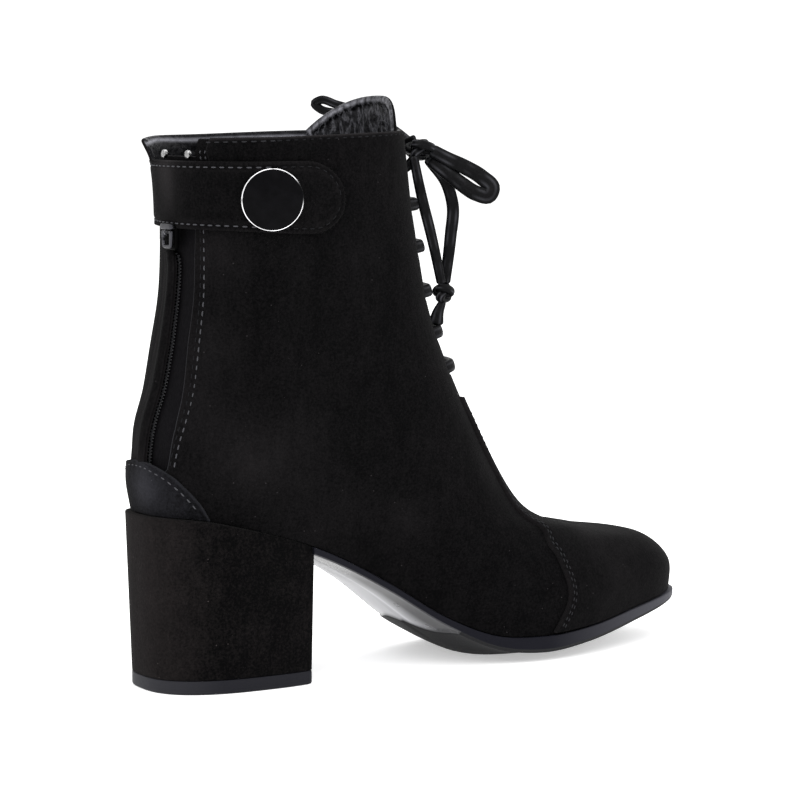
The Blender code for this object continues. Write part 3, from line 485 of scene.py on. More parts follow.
def surface(around, row):
    """Point of the upper: a squared oval ring at each row; around is 0 at the back, 0.5 at the front."""
    around, row = np.broadcast_arrays(np.asarray(around, float), np.asarray(row, float))
    numbers = range(len(SECTIONS))
    section = Section(*(smooth(numbers, column(SECTIONS, name), row) for name in Section._fields))
    cosine, sine = np.cos(2 * np.pi * around), np.sin(2 * np.pi * around)
    power = 2 / section.fullness
    share = (1 - np.sign(cosine) * np.abs(cosine) ** power) / 2
    chord = PROFILE[0].height + (PROFILE[-1].height - PROFILE[0].height) * share
    x = section.back_x + (section.front_x - section.back_x) * share
    y = middle_y(section, share) - np.sign(sine) * half_width(section, share) * np.abs(sine) ** power
    z = section.back_z + (section.front_z - section.back_z) * share
    z = z + section.follow * (feather_height(share) - chord)
    return np.stack([x, y, z], axis=-1)


def unit(vectors):
    """Vectors of length one along the last axis."""
    return vectors / np.maximum(np.linalg.norm(vectors, axis=-1, keepdims=True), 1e-12)


def normal_at(around, row):
    """Outward normal of the upper: the cross product of its two small steps."""
    small_turn, small_row = 0.002, 0.02
    along = surface(around + small_turn, row) - surface(around - small_turn, row)
    rising = surface(around, row + small_row) - surface(around, row - small_row)
    return unit(np.cross(along, rising))


def skin(around, row, out):
    """Point of the upper moved out along the normal, or in where out is below zero."""
    around, row = np.broadcast_arrays(np.asarray(around, float), np.asarray(row, float))
    return surface(around, row) + normal_at(around, row) * np.asarray(out, float)[..., None]


def row_at_height(around, height):
    """Row of the shaft where the upper reaches a height, by a few Newton steps."""
    around, height = np.broadcast_arrays(np.asarray(around, float), np.asarray(height, float))
    row = np.full(around.shape, SHAFT_ROW)
    small_row = 0.01
    for _ in range(12):
        here = surface(around, row)[..., 2]
        slope = (surface(around, row + small_row)[..., 2] - here) / small_row
        row = row + (height - here) / slope
    return row


def around_at_y(y, row, back):
    """Place around the ring, near the centre back or centre front, with a sideways distance y."""
    y, row = np.broadcast_arrays(np.asarray(y, float), np.asarray(row, float))
    centre, sign = (0.0, -1.0) if back else (0.5, 1.0)
    reach = 0.2
    low, high = np.full(y.shape, -reach), np.full(y.shape, reach)
    for _ in range(40):
        middle = (low + high) / 2
        below = surface(centre + middle, row)[..., 1] * sign < y * sign
        low, high = np.where(below, middle, low), np.where(below, high, middle)
    return centre + (low + high) / 2


def back_place(table, row):
    """Place around the back on each row, where a table of heights gives the distance from the middle."""
    around = np.zeros(row.shape)
    for _ in range(4):
        y = np.interp(surface(around, row)[..., 2], *zip(*table))
        around = around_at_y(y, row, back=True)
    return around


def place_at(y, height, start_row, back):
    """Place around and row of the shaft at a sideways distance and height; the search starts at a row."""
    row = row_at_height(around_at_y(y, start_row, back), height)
    return around_at_y(y, row, back), row


def along_rows(first, last, row, count, edge):
    """Places from one edge to the other on each row, even in millimetres and closer at the edges.

    Gives the places and each one's distance from the nearer edge.
    """
    fine = first[:, None] + (last - first)[:, None] * np.linspace(0, 1, 241)
    path = surface(fine, row[:, None])
    reach = np.cumsum(np.linalg.norm(np.diff(path, axis=1), axis=-1), axis=1)
    reach = np.concatenate([np.zeros((len(row), 1)), reach], axis=1)
    total = reach[:, -1:]
    corner = edge * (1 - np.cos(quarter_turn(6)))[None, :]
    inside = edge + (total - 2 * edge) * np.linspace(0, 1, count)[None, 1:-1]
    distance = np.concatenate([corner + 0 * total, inside, total - corner[:, ::-1]], axis=1)
    places = np.stack([np.interp(*line) for line in zip(distance, reach, fine)])
    return places, np.minimum(distance, total - distance)


def round_edge(distance, radius, other=None):
    """Share of the full height at a distance from a round edge: a quarter circle, 0 at the edge."""
    fall = (1 - ramp(distance, radius)) ** 2
    if other is not None:
        fall = fall + (1 - ramp(other, radius)) ** 2
    return np.sqrt(np.clip(1 - fall, 0, 1))


def relief(around, row):
    """Soft folds of the suede: low waves, plus a bell-shaped trough or ridge along each crease."""
    place = surface(around, row)
    height = 0.12 * np.sin(place[..., 2] / 11 + 3 * np.sin(place[..., 0] / 23))
    height = height + 0.10 * np.sin(place[..., 0] / 9 + place[..., 1] / 7 + 2 * np.sin(place[..., 2] / 17))
    for crease in CREASES:
        start = surface(crease.around, crease.row)
        line = surface(crease.to_around, crease.to_row) - start
        share = ramp((place - start) @ line, line @ line)
        distance = np.linalg.norm(place - start - share[..., None] * line, axis=-1)
        height = height + crease.depth * bell(distance, crease.width)
    return height


def rubbed(points):
    """How light the nap is at points, from worn nap and painted sheen: the sum of soft round spots."""
    light = np.zeros(points.shape[:-1])
    for spot in SPOTS:
        distance = np.linalg.norm(points - surface(spot.around, spot.row), axis=-1)
        light = light + spot.light * bell(distance, spot.reach)
    return light


def grid_faces(rows, columns, ring=False):
    """Quads of a grid of points, row by row; with ring set the last column meets the first."""
    i, j = np.meshgrid(np.arange(rows - 1), np.arange(columns - (not ring)), indexing="ij")
    k = (j + 1) % columns
    here, after = i * columns, (i + 1) * columns
    return np.stack([here + j, here + k, after + k, after + j], axis=-1).reshape(-1, 4)


def slab(first, second):
    """Solid between two grids, closed by a strip along their edges; the first grid's faces come first."""
    rows, columns = first.shape[:2]
    faces = grid_faces(rows, columns)
    index = np.arange(rows * columns).reshape(rows, columns)
    loop = np.concatenate([index[0, :-1], index[:-1, -1], index[-1, :0:-1], index[:0:-1, 0]])
    after = np.roll(loop, -1)
    rim = np.stack([loop, after, after + rows * columns, loop + rows * columns], axis=-1)
    points = np.concatenate([first.reshape(-1, 3), second.reshape(-1, 3)])
    return points, np.concatenate([faces, faces[:, ::-1] + rows * columns, rim])


def tube(path, wide_way, wide, thick, sides=22, square=2.6):
    """Flat cord: a squared oval profile carried along a path, its width along wide_way, with round ends."""
    path = np.asarray(path, float)
    tangent = unit(np.gradient(path, axis=0))
    across = np.asarray(wide_way, float)
    across = unit(across - np.sum(across * tangent, axis=-1, keepdims=True) * tangent)
    up = np.cross(tangent, across)
    turn = np.linspace(0, 2 * np.pi, sides, endpoint=False)
    flat = np.sign(np.cos(turn)) * np.abs(np.cos(turn)) ** (2 / square) / 2
    high = np.sign(np.sin(turn)) * np.abs(np.sin(turn)) ** (2 / square) * thick / 2
    wide = np.broadcast_to(wide, len(path))[:, None, None]
    ring = wide * flat[None, :, None] * across[:, None] + high[None, :, None] * up[:, None]
    cap = np.sin(quarter_turn(5))[:-1]
    push = (np.cos(quarter_turn(5))[:-1] * thick / 2)[:, None, None]
    start = path[0] - tangent[0] * push + ring[0] * cap[:, None, None]
    stop = path[-1] + tangent[-1] * push[::-1] + ring[-1] * cap[::-1, None, None]
    points = np.concatenate([start, path[:, None] + ring, stop])
    return points.reshape(-1, 3), grid_faces(len(points), sides, ring=True)


def worn_lines(shape, sides=22):
    """Painted highlights of a tube at its points: two lines along each flat face, broken up along the way.
    """
    turn = np.linspace(0, 2 * np.pi, sides, endpoint=False)
    line = bell(np.abs(np.cos(turn)) ** 0.77 - 0.48, 0.13)
    place = np.arange(len(shape[0]) // sides)
    broken = np.clip(0.35 + 0.45 * np.sin(place * 0.21) + 0.4 * np.sin(place * 0.57 + 1.3), 0, None)
    return (broken[:, None] * line[None, :]).ravel()


def spline(route, step):
    """Points a step apart on a smooth curve through a route's points."""
    route = np.array(route, float)
    reach = way_along(route)
    stops = np.linspace(0, reach[-1], int(np.ceil(reach[-1] / step)) + 1)
    return np.stack([smooth(reach, route[:, axis], stops) for axis in range(3)], axis=-1)


def capsules(starts, ends, up, radius, dip=0.0, sides=6):
    """Many short round-ended rods in one mesh, from starts to ends; dip sinks each rod's two ends."""
    along = ends - starts
    tangent = unit(along)
    up = unit(up - np.sum(up * tangent, axis=-1, keepdims=True) * tangent)
    side = np.cross(tangent, up)
    place = np.array([0.0, 0.05, 0.2, 0.5, 0.8, 0.95, 1.0])
    size = np.array([0.0, 0.65, 0.95, 1.0, 0.95, 0.65, 0.0])
    drop = (2 * place - 1) ** 2 * dip
    turn = np.linspace(0, 2 * np.pi, sides, endpoint=False)
    ring = np.cos(turn)[None, :, None] * side[:, None] + np.sin(turn)[None, :, None] * up[:, None]
    middle = starts[:, None] + along[:, None] * place[None, :, None] - up[:, None] * drop[None, :, None]
    points = middle[:, :, None] + radius * size[None, :, None, None] * ring[:, None]
    one = grid_faces(len(place), sides, ring=True)
    count = len(place) * sides
    faces = one[None] + np.arange(len(starts))[:, None, None] * count
    return points.reshape(-1, 3), faces.reshape(-1, 4)


def revolve(profile, centre, axis, facets=96):
    """Turned form: a closed profile of radius and height carried around an axis."""
    axis = unit(np.asarray(axis, float))
    first = unit(np.cross(axis, (0.0, 0.0, 1.0)))
    second = np.cross(axis, first)
    turn = np.linspace(0, 2 * np.pi, facets, endpoint=False)[:, None, None]
    radius, height = np.array([*profile, profile[0]], float).T
    points = (np.asarray(centre) + radius[None, :, None] * (np.cos(turn) * first + np.sin(turn) * second)
              + height[None, :, None] * axis)
    points = np.concatenate([points, points[:1]])
    return points.reshape(-1, 3), grid_faces(*points.shape[:2])


def rounded_block(centre, half, square=0.22, rows=17, columns=33):
    """Block with soft edges: a ball whose cosines and sines are raised to a low power."""
    lift = np.linspace(-np.pi / 2, np.pi / 2, rows)[:, None]
    turn = np.linspace(-np.pi, np.pi, columns)[None, :]

    def soft(value):
        return np.sign(value) * np.abs(value) ** square

    flat = soft(np.cos(lift))
    ball = np.stack(np.broadcast_arrays(flat * soft(np.cos(turn)), flat * soft(np.sin(turn)),
                                        soft(np.sin(lift))), axis=-1)
    points = np.asarray(centre) + ball * np.asarray(half)
    return points.reshape(-1, 3), grid_faces(rows, columns)


def joined(*shapes):
    """Several shapes as one list of points and one of faces."""
    points, faces, count = [], [], 0
    for some_points, some_faces in shapes:
        points.append(some_points)
        faces.append(some_faces + count)
        count += len(some_points)
    return np.concatenate(points), np.concatenate(faces)


def piece(name, shape, finishes, stands_for=(), body="boot", kinds=None, light=None, sharp=50.0):
    """Object from a shape: doubles merged, faces out, shaded smooth; it rides on a body of the frame.

    kinds gives each face's finish, and light each point's wear and painted light: worn nap and edges, and
    painted highlights, sheen, reflections and shade.
    """
    points, faces = shape
    mesh = bpy.data.meshes.new(name)
    mesh.from_pydata((points * MM).tolist(), [], faces.tolist())
    for finish in finishes:
        mesh.materials.append(finish)
    if kinds is not None:
        mesh.polygons.foreach_set("material_index", np.asarray(kinds, np.int32))
    if light is not None:
        # Attribute of wear and painted light: worn nap and edges, and painted highlights, sheen, reflections
        # and shade
        rub = mesh.attributes.new("rub", "FLOAT", "POINT")
        rub.data.foreach_set("value", np.asarray(light, np.float32).ravel())
    work = bmesh.new()
    work.from_mesh(mesh)
    bmesh.ops.remove_doubles(work, verts=work.verts, dist=2e-6)
    bmesh.ops.recalc_face_normals(work, faces=work.faces)
    work.to_mesh(mesh)
    work.free()
    mesh.shade_smooth()
    mesh.set_sharp_from_angle(angle=np.radians(sharp))
    item = bpy.data.objects.new(name, mesh)
    bpy.context.scene.collection.objects.link(item)
    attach(item, body)
    if stands_for:
        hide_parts(*stands_for)
    return item


def add_node(tree, kind, settings=None, **inputs):
    """A shader node with its settings, and inputs given as values or as sockets to link from."""
    item = tree.nodes.new(kind)
    for name, value in (settings or {}).items():
        setattr(item, name, value)
    for name, value in inputs.items():
        socket = item.inputs[name.replace("_", " ")]
        if isinstance(value, bpy.types.NodeSocket):
            tree.links.new(value, socket)
        else:
            socket.default_value = value
    return item


def new_group(name, inputs, outputs):
    """An empty node group with named float inputs, a Vector input and float outputs."""
    tree = bpy.data.node_groups.new(name, "ShaderNodeTree")
    tree.interface.new_socket("Vector", in_out="INPUT", socket_type="NodeSocketVector")
    for title in inputs:
        tree.interface.new_socket(title, in_out="INPUT", socket_type="NodeSocketFloat")
    for title in outputs:
        tree.interface.new_socket(title, in_out="OUTPUT", socket_type="NodeSocketFloat")
    return tree, tree.nodes.new("NodeGroupInput").outputs, tree.nodes.new("NodeGroupOutput").inputs


def math(tree, operation, first, second):
    """Result of a Math node."""
    item = add_node(tree, "ShaderNodeMath", {"operation": operation})
    for socket, value in zip(item.inputs, (first, second)):
        if isinstance(value, bpy.types.NodeSocket):
            tree.links.new(value, socket)
        else:
            socket.default_value = value
    return item.outputs[0]


def nap_group():
    """Suede nap: brushed patches as Tone, short fibres as Fibre and Height, a few specks as Lint."""
    if "Suede nap" in bpy.data.node_groups:
        return bpy.data.node_groups["Suede nap"]
    tree, given, result = new_group("Suede nap", ("Patch Scale", "Fibre Scale"),
                                    ("Tone", "Fibre", "Height", "Lint"))
    patch = add_node(tree, "ShaderNodeTexNoise", Vector=given["Vector"], Scale=given["Patch Scale"],
                     Detail=4.0, Roughness=0.62, Distortion=0.6)
    fibre = add_node(tree, "ShaderNodeTexNoise", Vector=given["Vector"], Scale=given["Fibre Scale"],
                     Detail=3.0, Roughness=0.7)
    clump = add_node(tree, "ShaderNodeTexNoise", Vector=given["Vector"],
                     Scale=math(tree, "MULTIPLY", given["Fibre Scale"], 0.22), Detail=2.0)
    wipe = add_node(tree, "ShaderNodeMapping", Vector=given["Vector"], Scale=(1.0, 1.0, 0.25))
    streak = add_node(tree, "ShaderNodeTexNoise", Vector=wipe.outputs["Vector"],
                      Scale=math(tree, "MULTIPLY", given["Patch Scale"], 5.0), Detail=3.0, Roughness=0.7)
    both = math(tree, "ADD", math(tree, "MULTIPLY", patch.outputs["Fac"], 0.5),
                math(tree, "MULTIPLY", streak.outputs["Fac"], 0.5))
    tone = add_node(tree, "ShaderNodeMapRange", Value=both, From_Min=0.36, From_Max=0.68)
    tree.links.new(tone.outputs["Result"], result["Tone"])
    mingled = math(tree, "ADD", math(tree, "MULTIPLY", fibre.outputs["Fac"], 0.85),
                   math(tree, "MULTIPLY", clump.outputs["Fac"], 0.15))
    tree.links.new(mingled, result["Fibre"])
    dust = add_node(tree, "ShaderNodeTexVoronoi", Vector=given["Vector"], Scale=300.0)
    lint = math(tree, "MULTIPLY", math(tree, "LESS_THAN", dust.outputs["Distance"], 0.07),
                math(tree, "GREATER_THAN", dust.outputs["Color"], 0.68))
    tree.links.new(lint, result["Lint"])
    height = math(tree, "ADD", fibre.outputs["Fac"], math(tree, "MULTIPLY", clump.outputs["Fac"], 0.8))
    tree.links.new(height, result["Height"])
    return tree


def grain_group():
    """Leather grain: pebbles and fine creases as Height, worn tops as Mask, painted highlights on thin
    crinkles as the third output.
    """
    if "Leather grain" in bpy.data.node_groups:
        return bpy.data.node_groups["Leather grain"]
    tree, given, result = new_group("Leather grain", ("Scale", "Wrinkle"), ("Mask", "Height", "Line"))
    cells = add_node(tree, "ShaderNodeTexVoronoi", {"feature": "SMOOTH_F1"}, Vector=given["Vector"],
                     Scale=given["Scale"], Smoothness=0.4)
    folds = add_node(tree, "ShaderNodeTexNoise", Vector=given["Vector"],
                     Scale=math(tree, "MULTIPLY", given["Scale"], 0.3), Detail=4.0, Distortion=1.2)
    fold = math(tree, "MULTIPLY", folds.outputs["Fac"], given["Wrinkle"])
    tree.links.new(math(tree, "SUBTRACT", fold, math(tree, "MULTIPLY", cells.outputs["Distance"], 0.5)),
                   result["Height"])
    tree.links.new(folds.outputs["Fac"], result["Mask"])
    # Painted highlights: thin bright lines on the crinkles, stretched upright
    hang = add_node(tree, "ShaderNodeMapping", Vector=given["Vector"], Scale=(1.0, 1.0, 0.4))
    crackle = add_node(tree, "ShaderNodeTexNoise", Vector=hang.outputs["Vector"],
                       Scale=math(tree, "MULTIPLY", given["Scale"], 0.9), Detail=3.0, Roughness=0.6)
    away = math(tree, "ABSOLUTE", math(tree, "SUBTRACT", crackle.outputs["Fac"], 0.5), 0.0)
    tree.links.new(math(tree, "POWER", math(tree, "SUBTRACT", 1.0, away), 26.0), result["Line"])
    return tree


def new_material(name):
    """A node material with its tree, shader and Object coordinates."""
    item = bpy.data.materials.new(FINISH_NAME.format(name))
    item.use_nodes = True
    tree = item.node_tree
    place = tree.nodes.new("ShaderNodeTexCoord").outputs["Object"]
    return item, tree, tree.nodes["Principled BSDF"], place


def set_shader(shader, **values):
    """Constant values on the shader's own sockets."""
    for name, value in values.items():
        shader.inputs[name.replace("_", " ")].default_value = value


def mixed(tree, factor, dark, light):
    """Colour between two colours by a factor; above one it goes on past the light colour."""
    item = add_node(tree, "ShaderNodeMix", {"data_type": "RGBA", "clamp_factor": False})
    tree.links.new(math(tree, "MAXIMUM", factor, 0.0), item.inputs["Factor"])
    for socket, value in ((item.inputs[6], dark), (item.inputs[7], light)):
        socket.default_value = (*value, 1.0)
    return item.outputs[2]


def bump(tree, shader, height, strength, distance):
    """Small relief of the surface, in millimetres."""
    item = add_node(tree, "ShaderNodeBump", Height=height, Strength=strength, Distance=distance * MM)
    tree.links.new(item.outputs["Normal"], shader.inputs["Normal"])


def made_once(make):
    """Wrap a finish's maker, so that a name that comes back gives the same material again."""
    @wraps(make)
    def find(name, *values, **settings):
        return bpy.data.materials.get(FINISH_NAME.format(name)) or make(name, *values, **settings)

    return find


@made_once
def suede(name, colour, light, sheen, patch_scale=45.0):
    """Suede: dark nap with lighter brushed patches, a matt surface and a soft sheen at its rims."""
    item, tree, shader, place = new_material(name)
    nap = add_node(tree, "ShaderNodeGroup", {"node_tree": nap_group()}, Vector=place,
                   Patch_Scale=patch_scale, Fibre_Scale=1100.0)
    tone = math(tree, "MULTIPLY", nap.outputs["Tone"], 0.34)
    tone = math(tree, "ADD", tone, math(tree, "MULTIPLY", nap.outputs["Lint"], 3.0))
    # The mesh's wear and painted light: worn nap and edges, and painted sheen, highlights and shade
    spots = add_node(tree, "ShaderNodeAttribute", {"attribute_name": "rub"})
    tone = math(tree, "ADD", tone, spots.outputs["Fac"])
    tone = math(tree, "ADD", tone, math(tree, "MULTIPLY", nap.outputs["Fibre"], 1.9))
    tone = math(tree, "SUBTRACT", tone, 0.90)
    tree.links.new(mixed(tree, tone, colour, light), shader.inputs["Base Color"])
    set_shader(shader, Roughness=0.95, Specular_IOR_Level=0.02, Sheen_Weight=sheen, Sheen_Roughness=0.45)
    bump(tree, shader, nap.outputs["Height"], 0.55, 0.35)
    return item


@made_once
def leather(name, colour, light, roughness, scale, wrinkle, strength, gloss=0.5, spread=1.0, line=0.0,
            rub=False):
    """Smooth leather: grain and fine folds, glossier on the raised parts.

    spread and line say how much of the light colour the grain and the painted highlights on the folds show;
    the last switch adds the mesh's wear and painted light.
    """
    item, tree, shader, place = new_material(name)
    grain = add_node(tree, "ShaderNodeGroup", {"node_tree": grain_group()}, Vector=place,
                     Scale=scale, Wrinkle=wrinkle)
    tone = math(tree, "ADD", math(tree, "MULTIPLY", grain.outputs["Mask"], spread),
                math(tree, "MULTIPLY", grain.outputs["Line"], line))
    if rub:
        worn = add_node(tree, "ShaderNodeAttribute", {"attribute_name": "rub"})
        tone = math(tree, "ADD", tone, worn.outputs["Fac"])
    tree.links.new(mixed(tree, tone, colour, light), shader.inputs["Base Color"])
    rough = add_node(tree, "ShaderNodeMapRange", Value=grain.outputs["Mask"],
                     To_Min=roughness + 0.12, To_Max=roughness - 0.10)
    tree.links.new(rough.outputs["Result"], shader.inputs["Roughness"])
    set_shader(shader, Specular_IOR_Level=gloss)
    bump(tree, shader, grain.outputs["Height"], strength, 0.5)
    return item


@made_once
def speckled(name, colour, light, roughness, scale, strength, metallic=0.0, gloss=0.5,
             stretch=(1.0, 1.0, 1.0), rub=False):
    """Rubber, thread, metal or cloth: noise in the colour, or painted light from the mesh's attribute; noise
    in roughness and relief.
    """
    item, tree, shader, place = new_material(name)
    turned = add_node(tree, "ShaderNodeMapping", Vector=place, Scale=stretch)
    noise = add_node(tree, "ShaderNodeTexNoise", Vector=turned.outputs["Vector"], Scale=scale, Detail=4.0)
    tone = noise.outputs["Fac"]
    if rub:
        tone = add_node(tree, "ShaderNodeAttribute", {"attribute_name": "rub"}).outputs["Fac"]
    tree.links.new(mixed(tree, tone, colour, light), shader.inputs["Base Color"])
    rough = add_node(tree, "ShaderNodeMapRange", Value=noise.outputs["Fac"],
                     To_Min=max(roughness - 0.12, 0.02), To_Max=min(roughness + 0.12, 1.0))
    tree.links.new(rough.outputs["Result"], shader.inputs["Roughness"])
    set_shader(shader, Metallic=metallic, Specular_IOR_Level=gloss)
    bump(tree, shader, noise.outputs["Fac"], strength, 0.2)
    return item


def length(name, description, value):
    """A size in millimetres as a Blender length."""
    return bpy.props.FloatProperty(name=name, description=description, default=value * MM, unit="LENGTH",
                                   precision=5)


def tint(name, description, value):
    """A linear colour."""
    return bpy.props.FloatVectorProperty(name=name, description=description, size=3, subtype="COLOR",
                                         min=0.0, max=1.0, default=value)


class BootSizes(bpy.types.PropertyGroup):
    """Sizes of the boot's finish."""
    wall: length("Wall", "Suede and lining of the upper together", 2.0)
    overlay: length("Overlay", "How far the toe piece and the counter stand out", 1.55)
    strap: length("Strap", "How far the strap's face stands out", 2.35)
    lace_wide: length("Lace width", "Width of the flat lace", 4.4)
    lace_thick: length("Lace thickness", "Thickness of the flat lace", 2.3)
    stitch: length("Stitch", "Length of one stitch", 2.0)
    pitch: length("Stitch pitch", "From one stitch to the next", 3.3)
    thread: length("Thread", "Thickness of the thread", 0.55)
    tooth_pitch: length("Tooth pitch", "From one tooth of the zip to the next", 1.15)


class BootColours(bpy.types.PropertyGroup):
    """Colours of the boot's finish."""
    suede: tint("Suede", "Nap in the shade", (0.0013, 0.00125, 0.0014))
    suede_light: tint("Rubbed suede", "Nap brushed light", (0.0069, 0.0063, 0.0067))
    counter_light: tint("Counter", "Lighter nap of the counter", (0.0105, 0.0105, 0.0125))
    heel_light: tint("Heel", "Brownish nap of the heel", (0.0110, 0.0094, 0.0094))
    thread: tint("Thread", "Grey sewing thread", (0.032, 0.032, 0.036))
    lining: tint("Lining", "Glossy leather inside", (0.0018, 0.0018, 0.0022))
    lace: tint("Lace", "Leather of the lace", (0.0012, 0.0012, 0.0014))
    rubber: tint("Rubber", "Edge of the sole", (0.006, 0.006, 0.009))
    metal: tint("Zip metal", "Pull tab of the zip", (0.028, 0.028, 0.032))
    silver: tint("Silver", "Rim of the button", (0.85, 0.85, 0.86))


def mm(context, name):
    """A size of the property group, in millimetres."""
    return getattr(context.scene.boot_sizes, name) / MM


def colours(context):
    """The colours as plain tuples by name."""
    group = context.scene.boot_colours
    return {name: tuple(getattr(group, name)) for name in BootColours.__annotations__}


def black_suede(context):
    """Finish of the quarters and the strap."""
    shade = colours(context)
    return suede("black_suede", shade["suede"], shade["suede_light"], 0.012)


def lining_leather(context, name, line, gloss):
    """Finish of the lining and the tongue's inside; line says how bright the painted highlights on its folds
    are.
    """
    shade = colours(context)
    return leather(name, shade["lining"], (0.05, 0.05, 0.056), 0.30, 420.0, 2.2, 1.0, gloss=gloss,
                   spread=line / 9, line=line, rub=True)


def lace_leather(context):
    """Finish of the lace; its light colour carries the painted highlights."""
    shade = colours(context)
    return leather("lace_leather", shade["lace"], (0.03, 0.03, 0.034), 0.42, 900.0, 1.0, 0.4, gloss=0.05,
                   spread=0.12, rub=True)


class BootStage(bpy.types.Operator):
    """Camera at the photo's angle, pale floor and soft studio light"""
    bl_idname = "boot.stage"
    bl_label = "Stage"

    def execute(self, context):
        turn, lift = np.radians(CAMERA_AZIMUTH), np.radians(CAMERA_ELEVATION)
        back = Vector((np.sin(turn) * np.cos(lift), -np.cos(turn) * np.cos(lift), np.sin(lift)))
        camera = bpy.data.objects.new("camera", bpy.data.cameras.new("camera"))
        camera.data.lens = CAMERA_LENS
        camera.data.clip_start = CLIP_START
        camera.location = Vector(CAMERA_TARGET) * MM + back * CAMERA_DISTANCE * MM
        camera.rotation_mode = "QUATERNION"
        camera.rotation_quaternion = (-back).to_track_quat("-Z", "Y")
        context.scene.collection.objects.link(camera)
        context.scene.camera = camera
        context.scene.view_settings.view_transform = "Standard"
        self.floor(context)
        for light in LIGHTS:
            self.light(context, *light)
        world = bpy.data.worlds.new("studio")
        world.use_nodes = True
        set_shader(world.node_tree.nodes["Background"], Color=WHITE, Strength=WORLD_STRENGTH)
        context.scene.world = world
        return {"FINISHED"}

    @staticmethod
    def floor(context):
        """A wide flat grid a hair under the sole."""
        reach = np.linspace(-FLOOR_REACH, FLOOR_REACH, FLOOR_POINTS)
        x, y = np.meshgrid(reach, reach)
        points = np.stack([x, y, np.full(x.shape, -FLOOR_DROP)], axis=-1).reshape(-1, 3)
        mesh = bpy.data.meshes.new("floor")
        mesh.from_pydata((points * MM).tolist(), [], grid_faces(*x.shape).tolist())
        finish = speckled("pale_floor", (0.86, 0.86, 0.86), (0.90, 0.90, 0.90), 0.8, 40.0, 0.0)
        set_shader(finish.node_tree.nodes["Principled BSDF"], Emission_Color=WHITE,
                   Emission_Strength=FLOOR_GLOW)
        mesh.materials.append(finish)
        floor = bpy.data.objects.new("floor", mesh)
        context.scene.collection.objects.link(floor)

    @staticmethod
    def light(context, name, place, size, power):
        """A square soft light that faces the boot."""
        data = bpy.data.lights.new(name, "AREA")
        data.size = size
        data.energy = power
        item = bpy.data.objects.new(name, data)
        item.location = place
        item.rotation_mode = "QUATERNION"
        item.rotation_quaternion = (Vector(place) - Vector(CAMERA_TARGET) * MM).to_track_quat("Z", "Y")
        context.scene.collection.objects.link(item)


def knot_path(centre, half, thick):
    """Overhand knot: a trefoil curve drawn out to a knot's half sizes, less the cord's own thickness."""
    turn = np.linspace(0, 2 * np.pi, 97)[:-1]
    curve = np.stack([np.sin(turn) + 2 * np.sin(2 * turn), np.cos(turn) - 2 * np.cos(2 * turn),
                      -2.2 * np.sin(3 * turn)], axis=-1)
    curve = curve / np.abs(curve).max(axis=0)
    return np.asarray(centre) + curve[:, [2, 0, 1]] * (np.asarray(half) - thick / 2)


class BootBow(bpy.types.Operator):
    """Tied bow: two loops, two hanging ends and their knots"""
    bl_idname = "boot.bow"
    bl_label = "Bow"

    def execute(self, context):
        wide, thick = mm(context, "lace_wide"), mm(context, "lace_thick")
        finish = [lace_leather(context)]
        knot = self.knot("bow_knot", KNOT_CENTRE, KNOT_HALF, thick, finish)
        end_knot = self.knot("lace_end_knot", END_KNOT_CENTRE, END_KNOT_HALF, thick, finish)
        path = spline(CORD_ROUTES["lace_tail"], LACE_STEP)
        shape = tube(path, CAMERA_RIGHT, wide * np.linspace(*TAIL_WIDTHS, len(path)), thick * TAIL_THICK)
        tail = piece("lace_tail", shape, finish, ["lace_tail"], light=worn_lines(shape))
        cords = (("bow_loop_near", "object", [knot]), ("bow_loop_far", "object", []),
                 ("lace_end_1", "knot", []), ("lace_end_2", "knot", [end_knot, tail]))
        for name, far_end, others in cords:
            self.cord(name, wide * CORD_WIDTHS[name], thick, far_end, finish, others)
        return {"FINISHED"}

    @staticmethod
    def knot(name, centre, half, thick, finish):
        """Knot: a cord along the trefoil, closed on itself."""
        path = knot_path(centre, half, thick)
        path = np.concatenate([path, path[:1]])
        out = path - np.asarray(centre)
        shape = tube(path, np.cross(np.gradient(path, axis=0), out), thick * KNOT_WIDE, thick)
        return piece(name, shape, finish, [name], light=KNOT_SHINE * worn_lines(shape))

    @staticmethod
    def cord(name, wide, thick, far_end, finish, others):
        """A free stretch of lace along its route, its flat side to the camera."""
        path = spline(CORD_ROUTES[name], LACE_STEP)
        flat = np.cross(np.gradient(path, axis=0), TO_CAMERA)
        full = wide * (1 - CORD_TAPER + CORD_TAPER * np.sin(np.linspace(0, np.pi, len(path))))
        shape = tube(path, flat, full, thick)
        item = piece(name, shape, finish, [name], light=worn_lines(shape))


class BootLaceBars(bpy.types.Operator):
    """Lace bars that cross the throat from hole to hole"""
    bl_idname = "boot.lace_bars"
    bl_label = "Lace bars"

    def execute(self, context):
        finish = [lace_leather(context)]
        share = np.linspace(-1, 1, 61)
        y = share * (HOLE_Y + BAR_PAST)
        plunge = ramp(np.abs(y) - HOLE_Y + DIVE_START, DIVE_REACH) ** 2
        out = (LACE_GAP + BAR_THICK / 2) * (1 - plunge) - DIVE_DEPTH * plunge
        for number, height in enumerate(LACE_ROWS_Z, start=1):
            around, row = place_at(y, height, SHAFT_ROW, back=False)
            name = f"lace_bar_{number}"
            shape = tube(skin(around, row, out), BAR_WIDE_WAY, BAR_WIDE, BAR_THICK)
            if number == len(LACE_ROWS_Z):
                wide, thick = BAR_WIDE * RISE_SIZE[0], BAR_THICK * RISE_SIZE[1]
                rises = [tube(spline(route, LACE_STEP), RISE_WIDE_WAY, wide, thick) for route in LACE_RISES]
                shape = joined(shape, *rises)
            piece(name, shape, finish, [name], light=worn_lines(shape))
        return {"FINISHED"}


